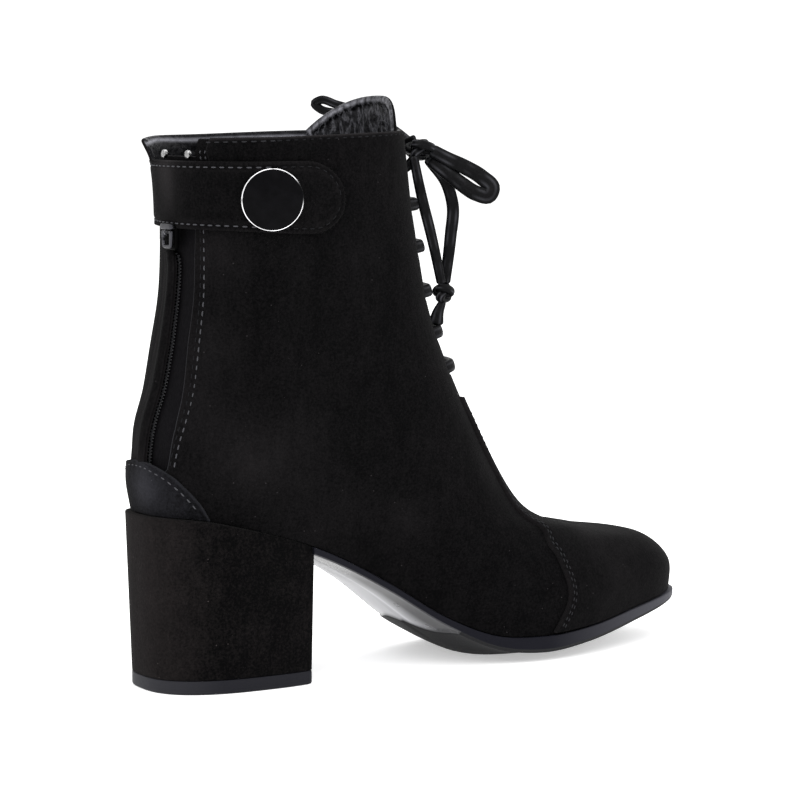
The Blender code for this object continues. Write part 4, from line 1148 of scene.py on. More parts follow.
class BootUpper(bpy.types.Operator):
    """Two suede quarters with their lining, folded edges and soft creases"""
    bl_idname = "boot.upper"
    bl_label = "Upper"

    def execute(self, context):
        wall = mm(context, "wall")
        # A lighter band along the near fold's edge
        cut = speckled("cut_edge", (0.008, 0.008, 0.009), (0.022, 0.022, 0.025), 0.7, 900.0, 0.3, gloss=0.05)
        finishes = [black_suede(context), lining_leather(context, "shaft_lining", 0.2, 0.04), cut]
        for name, far in (("quarter_near", False), ("quarter_far", True)):
            shape, kinds, light = self.quarter(far, wall)
            piece(name, shape, finishes, ["upper"], kinds=kinds, light=light)
        shape = self.facing(wall)
        piece("facing", shape, finishes[:1], ["upper"], light=np.full(len(shape[0]), FACING_RUB))
        return {"FINISHED"}

    @staticmethod
    def facing(wall):
        """Under-layer at the near side of the notch, set back at its top corner."""
        height, share = np.meshgrid(np.linspace(*FACING_Z, 24), np.linspace(0, 1, 20), indexing="ij")
        edge = np.interp(height, *zip(*FACING))
        y = edge + (FACING_LAST_Y - edge) * share
        around, row = place_at(y, height, COLLAR_ROW - 1.0, back=True)
        return slab(*(skin(around, row, depth - wall) for depth in FACING_DEPTHS))

    @staticmethod
    def rows():
        """Rows of the grid, closer at the slit's foot, at the throat's round end and at the collar."""
        collar = COLLAR_ROW - COLLAR_BAND * (1 - np.cos(quarter_turn(6)))
        return np.unique(np.concatenate([*(np.linspace(*run) for run in ROW_RUNS), collar]))

    @staticmethod
    def front_edge(row, far):
        """Place of the throat's edge on each row: upright above a half circle, closed below it."""
        side = 1.0 if far else -1.0
        around = np.full(row.shape, 0.5)
        for _ in range(4):
            below = np.clip(THROAT_BOTTOM_Z + THROAT_HALF - surface(around, row)[..., 2], 0, THROAT_HALF)
            around = around_at_y(side * np.sqrt(THROAT_HALF**2 - below**2), row, back=False)
        return around - (1.0 if far else 0.0)

    @classmethod
    def quarter(cls, far, wall):
        """One quarter as outer and inner grid, which meet in a half circle along every edge."""
        row = cls.rows()
        radius = wall / 2
        slit = back_place(SLIT_FAR if far else SLIT_NEAR, row)
        around, side = along_rows(slit, cls.front_edge(row, far), row, QUARTER_COLUMNS, radius)
        rows = np.broadcast_to(row[:, None], around.shape)
        top = np.linalg.norm(surface(around, COLLAR_ROW) - surface(around, rows), axis=-1)
        sunk = radius * (1 - round_edge(side, radius, top))
        place = surface(around, rows)
        dent = np.zeros(around.shape)
        for height in LACE_ROWS_Z:
            gap = np.hypot(np.abs(place[..., 1]) - HOLE_Y, place[..., 2] - height)
            dent = dent + np.where(place[..., 0] > HOLES_FROM_X, bell(gap, HOLE_RADIUS, 4), 0)
        fade = ramp(side, CREASE_FADE)
        out = relief(around, rows) * fade - sunk - HOLE_DENT * dent * fade
        depth = sunk - wall
        if far:
            back = np.linalg.norm(place - surface(around[:, :1], row[:, None]), axis=-1)
            flap = ramp(FLAP_TOP_Z + FLAP_FADE[0] - place[..., 2], FLAP_FADE[1])
            out = out + flap * strip(back, FLAP_BULGE)
            depth = depth + flap * FLAP_THIN.strength * bell(back, FLAP_THIN.width, 4)
            flare = ramp(place[..., 2] - FLARE_Z, FLARE_REACH) * strip(back, FLARE)
            out, depth = out + flare, depth + flare
        outer, inner = skin(around, rows, out), skin(around, rows, depth)
        shape = slab(outer, inner)
        count = (len(row) - 1) * (around.shape[1] - 1)
        kinds = np.zeros(len(shape[1]), int)
        kinds[count:2 * count] = 1
        if not far:
            fold = kinds[:count].reshape(len(row) - 1, -1)
            fold[place[:-1, 0, 2] < STRAP_Z[0], NEAR_FOLD_BAND_COLUMNS] = 2
        # Worn nap and painted sheen in spots, wear along the edges, and a painted highlight along the collar
        light = rubbed(place) + strip(side, EDGE_RUB) + strip(top, COLLAR_HIGHLIGHT)
        if far:
            light = light + flap * strip(back, FLAP_LIGHT_LINE)
        # Painted highlight along the lining's top edge
        rim = strip(top, LINING_HIGHLIGHT)
        return shape, kinds, np.concatenate([light.ravel(), rim.ravel()])


class BootToePiece(bpy.types.Operator):
    """Toe piece sewn over the quarters"""
    bl_idname = "boot.toe_piece"
    bl_label = "Toe piece"

    def execute(self, context):
        shade = colours(context)
        rise = mm(context, "overlay")
        finish = suede("toe_suede", shade["suede"], shade["suede_light"], 0.02, patch_scale=60.0)
        row = np.concatenate([np.linspace(SEAM_FOOT, TOE_PIECE_TOP - TOE_TOP_BAND, 110),
                              TOE_PIECE_TOP - TOE_TOP_BAND * np.cos(quarter_turn(6))[1:]])
        edge = table_line(TOE_SEAM, row)
        shape, light = overlay(row, edge, 1 - edge, TOE_PIECE_TOP, rise, 130)
        piece("toe_piece", shape, [finish], ["toe_piece"], light=light)
        return {"FINISHED"}


class BootCounter(bpy.types.Operator):
    """Counter sewn over the back of the heel"""
    bl_idname = "boot.counter"
    bl_label = "Counter"

    def execute(self, context):
        shade = colours(context)
        rise = mm(context, "overlay")
        finish = suede("counter_suede", shade["suede"], shade["counter_light"], 0.02, patch_scale=120.0)
        row = np.concatenate([np.linspace(SEAM_FOOT, COUNTER_TOP - COUNTER_TOP_BAND, 44),
                              COUNTER_TOP - COUNTER_TOP_BAND * np.cos(quarter_turn(8))[1:]])
        edge = table_line(COUNTER_SEAM, row)
        shape, light = overlay(row, edge, -edge, COUNTER_TOP, rise, 90)
        piece("counter", shape, [finish], ["counter"], light=light)
        return {"FINISHED"}


def overlay(row, first, last, top_row, rise, count):
    """Sewn-on layer over the upper: round edges, and a shallow trough where the stitches pull it down.

    Gives the shape and how light its nap is: worn spots and spots of painted sheen, and wear most of all
    along the edge.
    """
    around, side = along_rows(first, last, row, count, OVERLAY_ROUND)
    rows = np.broadcast_to(row[:, None], around.shape)
    top = np.linalg.norm(surface(around, top_row) - surface(around, rows), axis=-1)
    full = rise - OVERLAY_LIFT - strip(side, OVERLAY_TROUGH)
    wave = relief(around, rows) * ramp(side, OVERLAY_FADE)
    out = OVERLAY_LIFT + full * round_edge(side, OVERLAY_ROUND, top) + wave
    light = rubbed(surface(around, rows)) + strip(np.minimum(side, top), EDGE_RUB)
    return slab(skin(around, rows, out), skin(around, rows, 0.0)), np.concatenate([light.ravel()] * 2)


class BootTongue(bpy.types.Operator):
    """Tongue with a crinkled glossy lining that rises above the collar"""
    bl_idname = "boot.tongue"
    bl_label = "Tongue"

    def execute(self, context):
        across = sine_steps(91)
        share = np.sin(quarter_turn(121))
        reach = np.clip(np.where(across < 0, -across / TONGUE_NEAR, across), 0, TONGUE_CUT)
        top = COLLAR_ROW + (TONGUE_TOP_ROW - COLLAR_ROW) * (1 - reach ** TONGUE_ROUND)
        row = TONGUE_LOW_ROW + (top[None, :] - TONGUE_LOW_ROW) * share[:, None]
        half = TONGUE_HALF[0] + (TONGUE_HALF[1] - TONGUE_HALF[0]) * share[:, None]
        around = 0.5 + across[None, :] * half
        depth = mm(context, "wall") + TONGUE_GAP
        middle = skin(around, row, -depth)
        gap = np.minimum(np.linalg.norm(middle - middle[:, :1], axis=-1),
                         np.linalg.norm(middle - middle[:, -1:], axis=-1))
        gap = np.minimum(gap, np.linalg.norm(middle - middle[-1:], axis=-1))
        radius = TONGUE_THICK / 2
        sunk = radius * (1 - round_edge(gap, radius))
        pleat = PLEAT_HIGH * np.sin(around * 330 + 1.5 * np.sin(row * 5)) * ramp(gap, PLEAT_FADE)
        roll = strip(gap, TONGUE_ROLL)
        outer = skin(around, row, -depth - sunk)
        inner = skin(around, row, -depth - TONGUE_THICK + sunk - roll + pleat * PLEAT_SHARE)
        shape = slab(outer, inner)
        count = (row.shape[0] - 1) * (row.shape[1] - 1)
        kinds = np.ones(len(shape[1]), int)
        kinds[:count] = 0
        finishes = [black_suede(context), lining_leather(context, "tongue_lining", 1.5, 0.09)]
        # Painted highlights on the lining side only
        light = np.concatenate([0 * gap.ravel(), self.rim(gap, around).ravel()])
        piece("tongue", shape, finishes, ["tongue"], kinds=kinds, light=light)
        return {"FINISHED"}

    @staticmethod
    def rim(gap, around):
        """Painted highlights of the folded edge, brighter towards the far side: a broken bright line and
        bright folds, less a dark seam inside it.
        """
        broken = 0.75 + 0.35 * np.sin(around * 410) + 0.3 * np.sin(around * 930 + 1)
        far = 0.6 + 0.8 * ramp(around - 0.52, 0.06)
        line = far * broken * strip(gap, TONGUE_HIGHLIGHT)
        return line + broken * strip(gap, TONGUE_FOLD_HIGHLIGHTS) - strip(gap, TONGUE_SEAM)


def plan_grid(section, share, side, inset=0.0):
    """Plan of the last at shares of its length and of its half width."""
    fullness = section.fullness
    ends = np.clip(1 - np.abs(1 - 2 * share) ** fullness, 0, None) ** (1 / fullness)
    wide = np.clip(half_width(section, share) * ends - inset, 0, None)
    x = section.back_x + (section.front_x - section.back_x) * share
    return x, middle_y(section, share) + side * wide


def along_feather(x):
    """Share of the feather line's length at a place x."""
    return ramp(x - FEATHER.back_x, FEATHER.front_x - FEATHER.back_x)


class BootSole(bpy.types.Operator):
    """Outsole with its edge, glossy shank and stepped tread, and the insole"""
    bl_idname = "boot.sole"
    bl_label = "Sole"

    def execute(self, context):
        rubber = colours(context)["rubber"]
        # The sole edge's light colour is a painted reflection of the pale floor
        edge = speckled("sole_edge", rubber, (0.05, 0.05, 0.058), 0.5, 900.0, 0.25, gloss=0.05, rub=True)
        # The shank's light colour is a painted reflection of the pale floor; its dark colour shows where
        # none is painted
        shank = speckled("sole_shank", (0.05, 0.05, 0.053), (0.42, 0.42, 0.44), 0.3, 60.0, 0.0, gloss=0.08,
                         rub=True)
        tread = speckled("sole_tread", (0.010, 0.010, 0.011), (0.017, 0.017, 0.018), 0.7, 1300.0, 0.4,
                         gloss=0.1)
        shape, kinds, light = self.outsole()
        piece("outsole", shape, [edge, shank, tread], ["outsole"], kinds=kinds, light=light)
        inside = leather("insole_leather", (0.020, 0.018, 0.017), (0.035, 0.032, 0.030), 0.55, 800.0, 0.8,
                         0.3)
        piece("insole", self.insole(), [inside], ["insole"])
        return {"FINISHED"}

    @staticmethod
    def outsole():
        """Sole between the feather line and an underside that bulges and steps down at the tread."""
        wider = {name: getattr(FEATHER, name) + SOLE_PROUD for name in ("heel", "waist", "ball", "toe")}
        section = FEATHER._replace(back_x=FEATHER.back_x - SOLE_PROUD,
                                   front_x=FEATHER.front_x + SOLE_TOE_PROUD, **wider)
        reach = section.front_x - section.back_x
        breast = (HEEL_SEAT.breast_x - SOLE_TUCK - section.back_x) / reach
        tread = (TREAD_X - section.back_x) / reach
        shares = np.concatenate([np.linspace(breast, tread - TREAD_SLOPE / reach, 40),
                                 tread + (1 - tread) * np.sin(quarter_turn(90))])
        across = sine_steps(61)
        share, side = np.meshgrid(shares, across, indexing="ij")
        behind = share < tread
        slant = table_line(TREAD_LINE, side)
        share = share - slant / reach * bell(share - tread, 0.1)
        x, y = plan_grid(section, share, side)
        along = along_feather(x)
        top = feather_height(along) - GAP
        wide = (y[:, -1:] - y[:, :1]) / 2
        far = side > 0
        edge = np.where(far, table_line(SOLE_FAR_EDGE, along), table_line(SOLE_EDGE, along))
        crown = smooth(column(PROFILE, "share"), column(PROFILE, "crown"), along) + SOLE_THICK - edge
        crown = crown * (1 - side**2) ** np.where(far, 1, 2)
        step = np.where(behind | (np.abs(side) > TREAD_EDGE), 0.0, TREAD_STEP)
        bottom = np.maximum(top - edge - (crown + step) * ramp(wide, TOE_FADE), 0.0)
        fall = SOLE_ROUND * (1 - round_edge((1 - np.abs(side)) * wide, SOLE_ROUND))
        shape = slab(np.stack([x, y, top - fall], axis=-1), np.stack([x, y, bottom + fall], axis=-1))
        count = (len(shares) - 1) * (len(across) - 1)
        kinds = np.zeros(len(shape[1]), int)
        kinds[count:2 * count] = np.where(behind, 1, 2)[:-1, :-1].ravel()
        # Painted floor reflection on the sole's edge, stronger towards the toe
        light = ramp(x - EDGE_REFLECTION_X, EDGE_REFLECTION_REACH)
        # Painted floor reflection across the shank, painted shade towards the heel, and a painted highlight
        # line
        shine = ramp(side + SHANK_SIDE, SHANK_SIDE_REACH) * ramp(1 - side, SHANK_FAR_FADE)
        shine = shine * np.clip((x - SHANK_X) / SHANK_X_REACH, SHANK_LEAST, 1) + strip(side, SHANK_HIGHLIGHT)
        under = np.where(behind, shine, light)
        return shape, kinds, np.concatenate([light.ravel(), under.ravel()])

    @staticmethod
    def insole():
        """Insole: the feather line's plan, inset from the wall."""
        section = FEATHER._replace(back_x=FEATHER.back_x + INSOLE_INSET,
                                   front_x=FEATHER.front_x - INSOLE_INSET)
        shares = (1 - np.cos(np.linspace(0, np.pi, 80))) / 2
        share, side = np.meshgrid(shares, sine_steps(31), indexing="ij")
        x, y = plan_grid(section, share, side, INSOLE_INSET)
        height = feather_height(along_feather(x)) + GAP
        wide = (y[:, -1:] - y[:, :1]) / 2
        fall = INSOLE_ROUND * (1 - round_edge((1 - np.abs(side)) * wide, INSOLE_ROUND))
        return slab(np.stack([x, y, height + INSOLE_THICK - fall], -1), np.stack([x, y, height], -1))


def heel_outline(row, count=70):
    """Plan of the heel: a squared oval at the back, cut off at the breast with two round corners."""
    reach = row.breast_x + HEEL_ROUND - row.back_x
    cut = (row.breast_x - HEEL_CORNER - row.back_x) / reach
    share = cut * (1 - np.cos(quarter_turn(count)))
    wide = row.half_width * (1 - np.abs(1 - 2 * share) ** HEEL_FULLNESS) ** (1 / HEEL_FULLNESS)
    turn = quarter_turn(9)[1:]
    x = np.concatenate([row.back_x + reach * share, row.breast_x - HEEL_CORNER * (1 - np.sin(turn))])
    y = np.concatenate([wide, wide[-1] - HEEL_CORNER * (1 - np.cos(turn))])
    flat = np.linspace(1, -1, 21)[1:-1]
    return (np.concatenate([x, np.full(flat.shape, x[-1]), x[::-1]]),
            np.concatenate([-y, -y[-1] * flat, y[::-1]]))


def pillar(levels):
    """Closed form through outlines of the same count, one above the other, with a fan at each end."""
    points = np.stack(levels)
    ends = [np.broadcast_to(level.mean(axis=0), level.shape) for level in (points[0], points[-1])]
    points = np.concatenate([ends[:1], points, ends[1:]])
    return points.reshape(-1, 3), grid_faces(*points.shape[:2], ring=True)


class BootHeel(bpy.types.Operator):
    """Suede-covered block heel and its rubber top lift"""
    bl_idname = "boot.heel"
    bl_label = "Heel"

    def execute(self, context):
        shade = colours(context)
        finish = suede("heel_suede", shade["suede"], shade["heel_light"], 0.02, patch_scale=70.0)
        floor_x, floor_y = heel_outline(HEEL_FLOOR)
        seat_x, seat_y = heel_outline(HEEL_SEAT)
        foot = np.stack([floor_x, floor_y, np.full(floor_x.shape, LIFT_THICK + GAP)], axis=-1)
        seat = np.stack([seat_x, seat_y, feather_height(along_feather(seat_x)) - GAP], axis=-1)
        levels = [foot + (seat - foot) * share for share in np.linspace(0, 1, HEEL_LEVELS)]
        for size, drop in HEEL_CAP:
            x = seat_x.mean() + (seat_x - seat_x.mean()) * size
            height = feather_height(along_feather(x)) - GAP - drop
            levels.append(np.stack([x, seat_y * size, height], axis=-1))
        levels[HEEL_LEVELS - 1] = levels[HEEL_LEVELS - 1] - (0.0, 0.0, HEEL_EDGE_DROP)
        shape = pillar(levels)
        # Painted sheen towards the back, less a little painted shade all over
        back = ramp(HEEL_SHEEN_X - shape[0][:, 0], HEEL_SHEEN_REACH)
        light = HEEL_SHEEN * back ** HEEL_SHEEN_POWER - HEEL_SHADE
        piece("heel_block", shape, [finish], ["heel_block"], light=light)
        rubber = speckled("lift_rubber", (0.0078, 0.0078, 0.0108), (0.020, 0.020, 0.024), 0.55, 900.0, 0.3,
                          gloss=0.10, rub=True)
        middle = np.array([floor_x.mean(), 0.0])
        plan = np.stack([floor_x, floor_y], axis=-1)
        lift = [np.concatenate([middle + (plan - middle) * size, np.full((len(plan), 1), height)], axis=1)
                for height, size in LIFT_RINGS]
        shape = pillar(lift)
        # Painted sheen: the top lift is lighter towards the back
        light = ramp(LIFT_SHEEN_X - shape[0][:, 0], LIFT_SHEEN_REACH)
        piece("heel_top_lift", shape, [rubber], ["heel_top_lift"], light=light)
        return {"FINISHED"}


def strap_grid(across):
    """Strap's places around the ring and heights: straight, then a half circle at its near end."""
    far, near = STRAP_ENDS
    turn = quarter_turn(24)[1:]
    straight = np.linspace(far, near - STRAP_ROUND, 150)
    around = np.concatenate([straight, near - STRAP_ROUND + STRAP_ROUND * np.sin(turn)])
    reach = np.concatenate([np.ones(straight.size), np.cos(turn)])
    low = table_line(STRAP_LOW, around)
    height = (STRAP_Z[1] + low) / 2 + (STRAP_Z[1] - low) / 2 * across[:, None] * reach[None, :]
    return np.broadcast_to(around, height.shape), height


class BootStrap(bpy.types.Operator):
    """Strap around the back with a round stitched end"""
    bl_idname = "boot.strap"
    bl_label = "Strap"

    def execute(self, context):
        across = sine_steps(41)
        around, height = strap_grid(across)
        row = row_at_height(around, height)
        place = surface(around, row)
        edge = np.concatenate([place[0], place[-1]])
        gap = np.min(np.linalg.norm(place[:, :, None] - edge[None, None, ::2], axis=-1), axis=-1)
        rise = mm(context, "strap") - STRAP_GAP
        out = STRAP_GAP + (rise - strip(gap, STRAP_TROUGH)) * round_edge(gap, STRAP_EDGE)
        shape = slab(skin(around, row, out), skin(around, row, STRAP_GAP))
        # Painted sheen at the centre back, wear and a painted highlight along the edges, and a lighter line
        # inside them
        rising = np.clip((height - STRAP_Z[0]) / STRAP_SHINE_RISE, STRAP_SHINE_LEAST, 1)
        light = strip(around, STRAP_SHINE) * rising + strip(gap, STRAP_EDGE_WEAR_AND_HIGHLIGHT) + strip(gap, STRAP_INNER_LINE)
        light = np.concatenate([light.ravel()] * 2)
        piece("strap", shape, [black_suede(context)], ["strap"], light=light)
        return {"FINISHED"}


class BootButton(bpy.types.Operator):
    """Button: a silver rim around a plain glossy black cap"""
    bl_idname = "boot.button"
    bl_label = "Button"

    def execute(self, context):
        around, height = BUTTON_AT
        row = row_at_height(around, height)
        base = skin(around, row, BUTTON_BASE)
        axis = normal_at(np.asarray(around), row)
        half = BUTTON_RIM / 2
        rim = [(BUTTON_RADIUS - BUTTON_RIM, RIM_FOOT), (BUTTON_RADIUS - RIM_FOOT_INSET, RIM_FOOT)]
        rim += [(BUTTON_RADIUS - half + half * np.cos(a), BUTTON_HIGH - RIM_CREST + RIM_CREST * np.sin(a))
                for a in np.linspace(0, np.pi, 13)]
        silver = speckled("button_silver", (0.004, 0.004, 0.0045), colours(context)["silver"], 0.2, 300.0,
                          0.02, metallic=1.0, rub=True)
        shape = revolve(rim, base, axis)
        points = len(rim) + 1
        turn = np.linspace(0, 360, len(shape[0]) // points)
        # Painted reflections: the silver rim is dark in one wide part and along two narrow lines
        bright = 1 - bell(turn - RIM_DARK_REFLECTION[0], RIM_DARK_REFLECTION[1], RIM_DARK_REFLECTION_POWER)
        for cut in RIM_DARK_LINES:
            bright = bright - strip(turn, cut)
        light = np.repeat(bright, points)
        piece("button_rim", shape, [silver], ["button_rim"], light=light)
        edge = BUTTON_RADIUS - CAP_INSET
        dome = [(edge * np.sin(a), BUTTON_HIGH - CAP_SINK + (CAP_DOME + CAP_SINK) * np.cos(a) ** CAP_POWER)
                for a in np.linspace(np.pi / 2, 0, 24)]
        cap = [*CAP_FOOT, (edge, CAP_EDGE_Z), *dome]
        black = speckled("button_black", (0.0010, 0.0010, 0.0011), (0.0042, 0.0040, 0.0048), 0.22, 260.0,
                         0.8, gloss=0.02)
        piece("button_cap", revolve(cap, base, axis), [black], ["button_cap"])
        return {"FINISHED"}


class BootZip(bpy.types.Operator):
    """Zip: woven tape, teeth, stops, slider and its pull tab"""
    bl_idname = "boot.zip"
    bl_label = "Zip"

    def execute(self, context):
        depth = mm(context, "wall") + TAPE_GAP
        cloth = speckled("zip_cloth", (0.0018, 0.0017, 0.0020), (0.0075, 0.0070, 0.0080), 0.8, 1500.0, 0.5,
                         gloss=0.02, stretch=(1.0, 1.0, 0.4))
        row, y = np.meshgrid(np.linspace(*TAPE_ROWS, 120), np.linspace(*TAPE_Y, 40), indexing="ij")
        around = around_at_y(y, row, back=True)
        tape = slab(skin(around, row, -depth), skin(around, row, -depth - TAPE_THICK))
        piece("zip_tape", tape, [cloth], ["zip_tape"])
        plastic = speckled("zip_teeth", (0.004, 0.004, 0.0045), (0.022, 0.022, 0.024), 0.3, 700.0, 0.1,
                           gloss=0.25)
        piece("zip_teeth", self.teeth(depth, mm(context, "tooth_pitch")), [plastic])
        metal = speckled("zip_metal", colours(context)["metal"], (0.055, 0.055, 0.062), 0.4, 600.0, 0.1,
                          metallic=1.0, stretch=(1.0, 1.0, 0.15))
        bright = speckled("zip_bright", (0.03, 0.03, 0.03), (0.55, 0.55, 0.55), 0.2, 1100.0, 1.0,
                          metallic=1.0)
        # Near-black slider plate, which also paints the shade seen through the pull's window
        dark = speckled("zip_dark", (0.0004, 0.0004, 0.0004), (0.0012, 0.0012, 0.0012), 0.6, 600.0, 0.1,
                        gloss=0.02)
        for name, place in zip(("zip_stop_far", "zip_stop_near"), STOP_Y):
            piece(name, self.stop(place, depth), [bright], [name])
        plate, crown = self.slider()
        kinds = np.repeat((0, 1), (len(plate[1]), len(crown[1])))
        piece("zip_slider", joined(plate, crown), [dark, metal], ["zip_slider"], kinds=kinds)
        piece("zip_pull", self.pull(), [metal], ["zip_pull"], body="zip_tab")
        return {"FINISHED"}

    @staticmethod
    def teeth(depth, pitch):
        """Two rows of short rods that mesh along the middle of the tape."""
        fine = np.linspace(*TEETH_ROWS, 300)
        line = surface(around_at_y(ZIP_Y, fine, back=True), fine)
        reach = way_along(line)
        starts, ends, ups = [], [], []
        for side, shift in ((-1.0, 0.0), (1.0, 0.5)):
            row = np.interp(np.arange(shift * pitch, reach[-1], pitch), reach, fine)
            middle = surface(back_place(SLIT_FAR, row), row)[..., 1] - TOOTH_SHIFT
            for places, y in ((starts, middle + side * TOOTH_HALF), (ends, middle - side * TOOTH_INNER)):
                around = around_at_y(y, row, back=True)
                places.append(skin(around, row, -depth + TOOTH_RISE))
            ups.append(normal_at(around, row))
        return capsules(*(np.concatenate(item) for item in (starts, ends, ups)), TOOTH_RADIUS)

    @staticmethod
    def stop(y, depth):
        """Top stop: a small lump of crimped metal on the tape."""
        around, row = place_at(y, STOP_Z, TAPE_ROWS[1], back=True)
        centre = skin(around, row, -depth) - (STOP_SIZE[0] / 2 + GAP, 0, 0)
        points, faces = rounded_block(centre, np.array(STOP_SIZE) / 2, 0.7)
        dent = 0.12 * np.sin(points[:, 1] * 7) * np.sin(points[:, 2] * 6)
        return points + np.stack([dent, 0 * dent, dent], axis=-1), faces

    @staticmethod
    def slider():
        """Slider: a plate with soft edges, and a crown that arches over the pull's pin, with a cap."""
        low, high = (np.array(corner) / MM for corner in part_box("zip_slider"))
        x, y, z = PIVOT
        back_x = high[0]
        face_x = x + CROWN_HOLE
        plate = rounded_block(((face_x + back_x) / 2, y, (low[2] + high[2]) / 2),
                              ((back_x - face_x) / 2, SLIDER_HALF, (high[2] - low[2]) / 2), 0.28)
        turn = np.linspace(-np.pi / 2, np.pi / 2, 25)
        bend = CROWN_HOLE + CROWN_BAR / 2
        arch = np.stack([x + 0.3 - (bend + 0.3) * np.cos(turn), np.full(turn.shape, y),
                         z + bend * np.sin(turn)], axis=-1)
        arch = np.concatenate([[[face_x + 0.4, y, z - bend]], arch, [[face_x + 0.4, y, z + bend]]])
        cap = rounded_block((x + 0.1, y, z + CAP_RISE), (1.0, PULL_HALF[0] - 0.1, 1.0), 0.3)
        return plate, joined(cap, tube(arch, (0.0, 1.0, 0.0), 2 * CROWN_HALF, CROWN_BAR, square=4.0))

    @staticmethod
    def pull():
        """Pull tab: a plate between a tapered outline and its window, with rounded rims."""
        turn = np.linspace(0, 2 * np.pi, 73)
        soft_cos = np.sign(np.cos(turn)) * np.abs(np.cos(turn)) ** 0.3
        soft_sin = np.sign(np.sin(turn)) * np.abs(np.sin(turn)) ** 0.3
        middle, half = (PULL_TOP - PULL_FOOT) / 2, (PULL_TOP + PULL_FOOT) / 2
        wide = np.interp(soft_sin, (-1, 1), (PULL_HALF[1], PULL_HALF[0]))
        outside = np.stack([soft_cos * wide, middle + soft_sin * half], axis=-1)
        window_half, window_top, window_foot = PULL_WINDOW
        inside = np.stack([soft_cos * window_half, (window_top + window_foot) / 2
                           + soft_sin * (window_top - window_foot) / 2], axis=-1)
        share = (1 - np.cos(np.linspace(0, np.pi, 15))) / 2
        plan = inside[None] + (outside - inside)[None] * share[:, None, None]
        thick = PULL_THICK / 2 * np.minimum(1, np.sin(np.pi * share) * 1.8)[:, None]
        faces = [np.stack([np.broadcast_to(side * thick, plan.shape[:2]), plan[..., 0], plan[..., 1]], -1)
                 for side in (-1, 1)]
        points, quads = slab(*faces)
        return points + PIVOT, quads


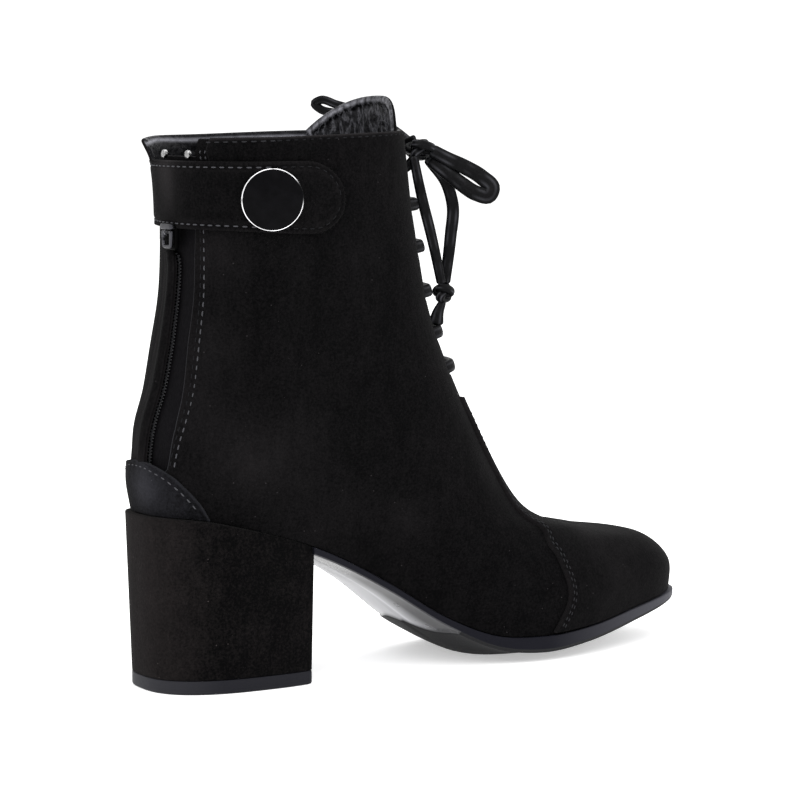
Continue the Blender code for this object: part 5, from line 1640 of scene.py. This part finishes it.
class BootStitches(bpy.types.Operator):
    """Rows of grey stitches along the seams and edges"""
    bl_idname = "boot.stitches"
    bl_label = "Stitches"

    def execute(self, context):
        self.length, self.pitch = mm(context, "stitch"), mm(context, "pitch")
        thick = mm(context, "thread")
        overlay_rise, strap_rise = mm(context, "overlay"), mm(context, "strap")
        grey = np.array(colours(context)["thread"])
        # The grey thread at three brightnesses: as it is, in painted shade, and darkest for the dark pucker
        # row and deeper painted shade
        bright = speckled("thread", grey, grey * 1.6, 0.6, 3000.0, 0.3, gloss=0.2)
        middle = speckled("worn_thread", grey * 0.25, grey * 0.56, 0.7, 3000.0, 0.3, gloss=0.1)
        dark_and_shaded = speckled("dark_thread", grey * 0.14, grey * 0.34, 0.7, 3000.0, 0.3, gloss=0.05)
        seams = {
            "stitches_toe": (self.toe_rows(overlay_rise), middle),
            "stitches_counter": (self.counter_row(overlay_rise), bright),
            "stitches_strap": (self.strap_rows(strap_rise, STRAP_ENDS[0], STRAP_FADE), bright),
            "stitches_strap_end": (self.strap_rows(strap_rise, STRAP_FADE, STRAP_ENDS[1]), dark_and_shaded),
            "stitches_fold": (self.fold_row(), bright),
            "stitches_notch": (self.notch_rows(mm(context, "wall")), bright),
            "stitches_puckers": (self.pucker_row(), dark_and_shaded),
            "stitches_collar": (self.collar_row(0.078, 0.175), middle),
            "stitches_collar_front": (self.collar_row(0.175, 0.435), dark_and_shaded),
            "stitches_collar_far": (self.collar_row(-0.435, -0.05), dark_and_shaded),
        }
        for name, (rows, finish) in seams.items():
            parts = [self.stitches(*row) for row in rows]
            starts, ends, ups = (np.concatenate(item) for item in zip(*parts))
            piece(name, capsules(starts, ends, ups, thick / 2, dip=thick * STITCH_DIP), [finish])
        return {"FINISHED"}

    def stitches(self, path, up, pitch):
        """Starts and ends of the stitches of one row, a pitch apart along its path."""
        reach = way_along(path)
        start = np.arange(STITCH_START, reach[-1] - self.length, pitch)
        length = self.length * pitch / self.pitch

        def at(place, values):
            return np.stack([np.interp(place, reach, values[:, axis]) for axis in range(3)], axis=-1)

        return at(start, path), at(start + length, path), at(start + length / 2, up)

    @staticmethod
    def inset(around, row, out, distance):
        """Path on the surface at a distance to the left of a line of places, seen from outside."""
        up = normal_at(around, row)
        path = skin(around, row, out)
        side = unit(np.cross(up, np.gradient(path, axis=0)))
        return path + side * distance, up

    @classmethod
    def toe_rows(cls, rise):
        """Two rows inside each edge of the toe piece."""
        row = np.linspace(0.25, TOE_PIECE_TOP - 0.15, 200)
        edge = table_line(TOE_SEAM, row)
        for distance in TOE_DISTANCES:
            yield *cls.inset(edge, row, rise - STITCH_SINK, -distance), TOE_PITCH
            yield *cls.inset(1 - edge, row, rise - STITCH_SINK, distance), TOE_PITCH

    @classmethod
    def counter_row(cls, rise):
        """One row inside the counter's edge, over the top from side to side."""
        around = np.linspace(-COUNTER_AROUND, COUNTER_AROUND, 200)
        rows, places = zip(*reversed(COUNTER_SEAM))
        row = np.interp(np.abs(around), places, rows)
        row = np.convolve(np.pad(row, 8, mode="edge"), np.ones(17) / 17, mode="valid")
        yield *cls.inset(around, row, rise - STITCH_SINK, -COUNTER_DISTANCE), COUNTER_PITCH

    @classmethod
    def strap_rows(cls, rise, first, last):
        """A row inside each long edge of the strap, between two places around; drawn in at the round end."""
        half = (STRAP_Z[1] - STRAP_Z[0]) / 2
        share = 1 - STRAP_DISTANCE / half
        bend = STRAP_ENDS[1] - STRAP_ROUND
        for side in (-1.0, 1.0):
            around, height = strap_grid(np.array([side * share]))
            drawn = bend + (around - STRAP_ENDS[1] + STRAP_ROUND) * share
            around = np.where(around > bend, drawn, around)
            here = (around[0] >= first) & (around[0] <= last)
            around, row = around[0][here], row_at_height(around[0], height[0])[here]
            yield skin(around, row, rise - 2 * STITCH_SINK), normal_at(around, row), STRAP_PITCH

    @staticmethod
    def fold_row():
        """One row beside the zip's near fold."""
        row = np.linspace(*FOLD_ROWS, 200)
        around = back_place(FOLD_STITCHES, row)
        yield skin(around, row, STITCH_RISE), normal_at(around, row), FOLD_PITCH

    @classmethod
    def notch_rows(cls, wall):
        """Two short rows on the facing at the near side of the notch, and one at its far side."""
        height = np.linspace(*FACING_Z, 30)[4:-6]
        edge = np.interp(height, *zip(*FACING))
        for distance in NOTCH_DISTANCES:
            around, row = place_at(edge - distance, height, COLLAR_ROW - 1.0, back=True)
            yield skin(around, row, NOTCH_RISE - wall), normal_at(around, row), NOTCH_PITCH
        row = np.linspace(*NOTCH_ROWS, 30)
        yield *cls.inset(back_place(SLIT_FAR, row), row, STITCH_RISE, FOLD_DISTANCE), NOTCH_PITCH

    @staticmethod
    def collar_row(first, last):
        """One row under the collar's edge, between two places around."""
        around = np.linspace(first, last, 200)
        row = np.full(around.shape, COLLAR_ROW)
        small_row = 0.2
        below = skin(around, row - small_row, 0.0)
        drop = np.linalg.norm(skin(around, row, 0.0) - below, axis=-1) / small_row
        row = row - COLLAR_DROP / drop
        yield skin(around, row, STITCH_RISE), normal_at(around, row), STRAP_PITCH

    @classmethod
    def pucker_row(cls):
        """A row of small puckers between the zip's fold and its stitches."""
        row = np.linspace(*FOLD_ROWS, 200)
        yield *cls.inset(back_place(FOLD_STITCHES, row), row, 0.0, FOLD_DISTANCE), FOLD_PITCH


PIECES = (BootStage, BootBow, BootLaceBars, BootUpper, BootToePiece, BootCounter, BootTongue, BootSole,
          BootHeel, BootStrap, BootButton, BootZip, BootStitches)


class BootPanel(bpy.types.Panel):
    """Sidebar list of the boot's pieces, sizes and colours"""
    bl_idname = "VIEW3D_PT_boot"
    bl_label = "Boot"
    bl_space_type = "VIEW_3D"
    bl_region_type = "UI"
    bl_category = "Boot"

    def draw(self, context):
        for group in (context.scene.boot_sizes, context.scene.boot_colours):
            for name in type(group).__annotations__:
                self.layout.prop(group, name)
        for kind in PIECES:
            self.layout.operator(kind.bl_idname)


CLASSES = (BootSizes, BootColours, *PIECES, BootPanel)


def register():
    """Add the classes and the scene's two property groups."""
    for kind in CLASSES:
        bpy.utils.register_class(kind)
    bpy.types.Scene.boot_sizes = bpy.props.PointerProperty(type=BootSizes)
    bpy.types.Scene.boot_colours = bpy.props.PointerProperty(type=BootColours)


def unregister():
    """Remove what register added."""
    del bpy.types.Scene.boot_sizes
    del bpy.types.Scene.boot_colours
    for kind in reversed(CLASSES):
        bpy.utils.unregister_class(kind)


def main():
    """Register the add-on, then make every piece in order."""
    register()
    for kind in PIECES:
        family, name = kind.bl_idname.split(".")
        getattr(getattr(bpy.ops, family), name)()


if __name__ == "__main__":
    main()
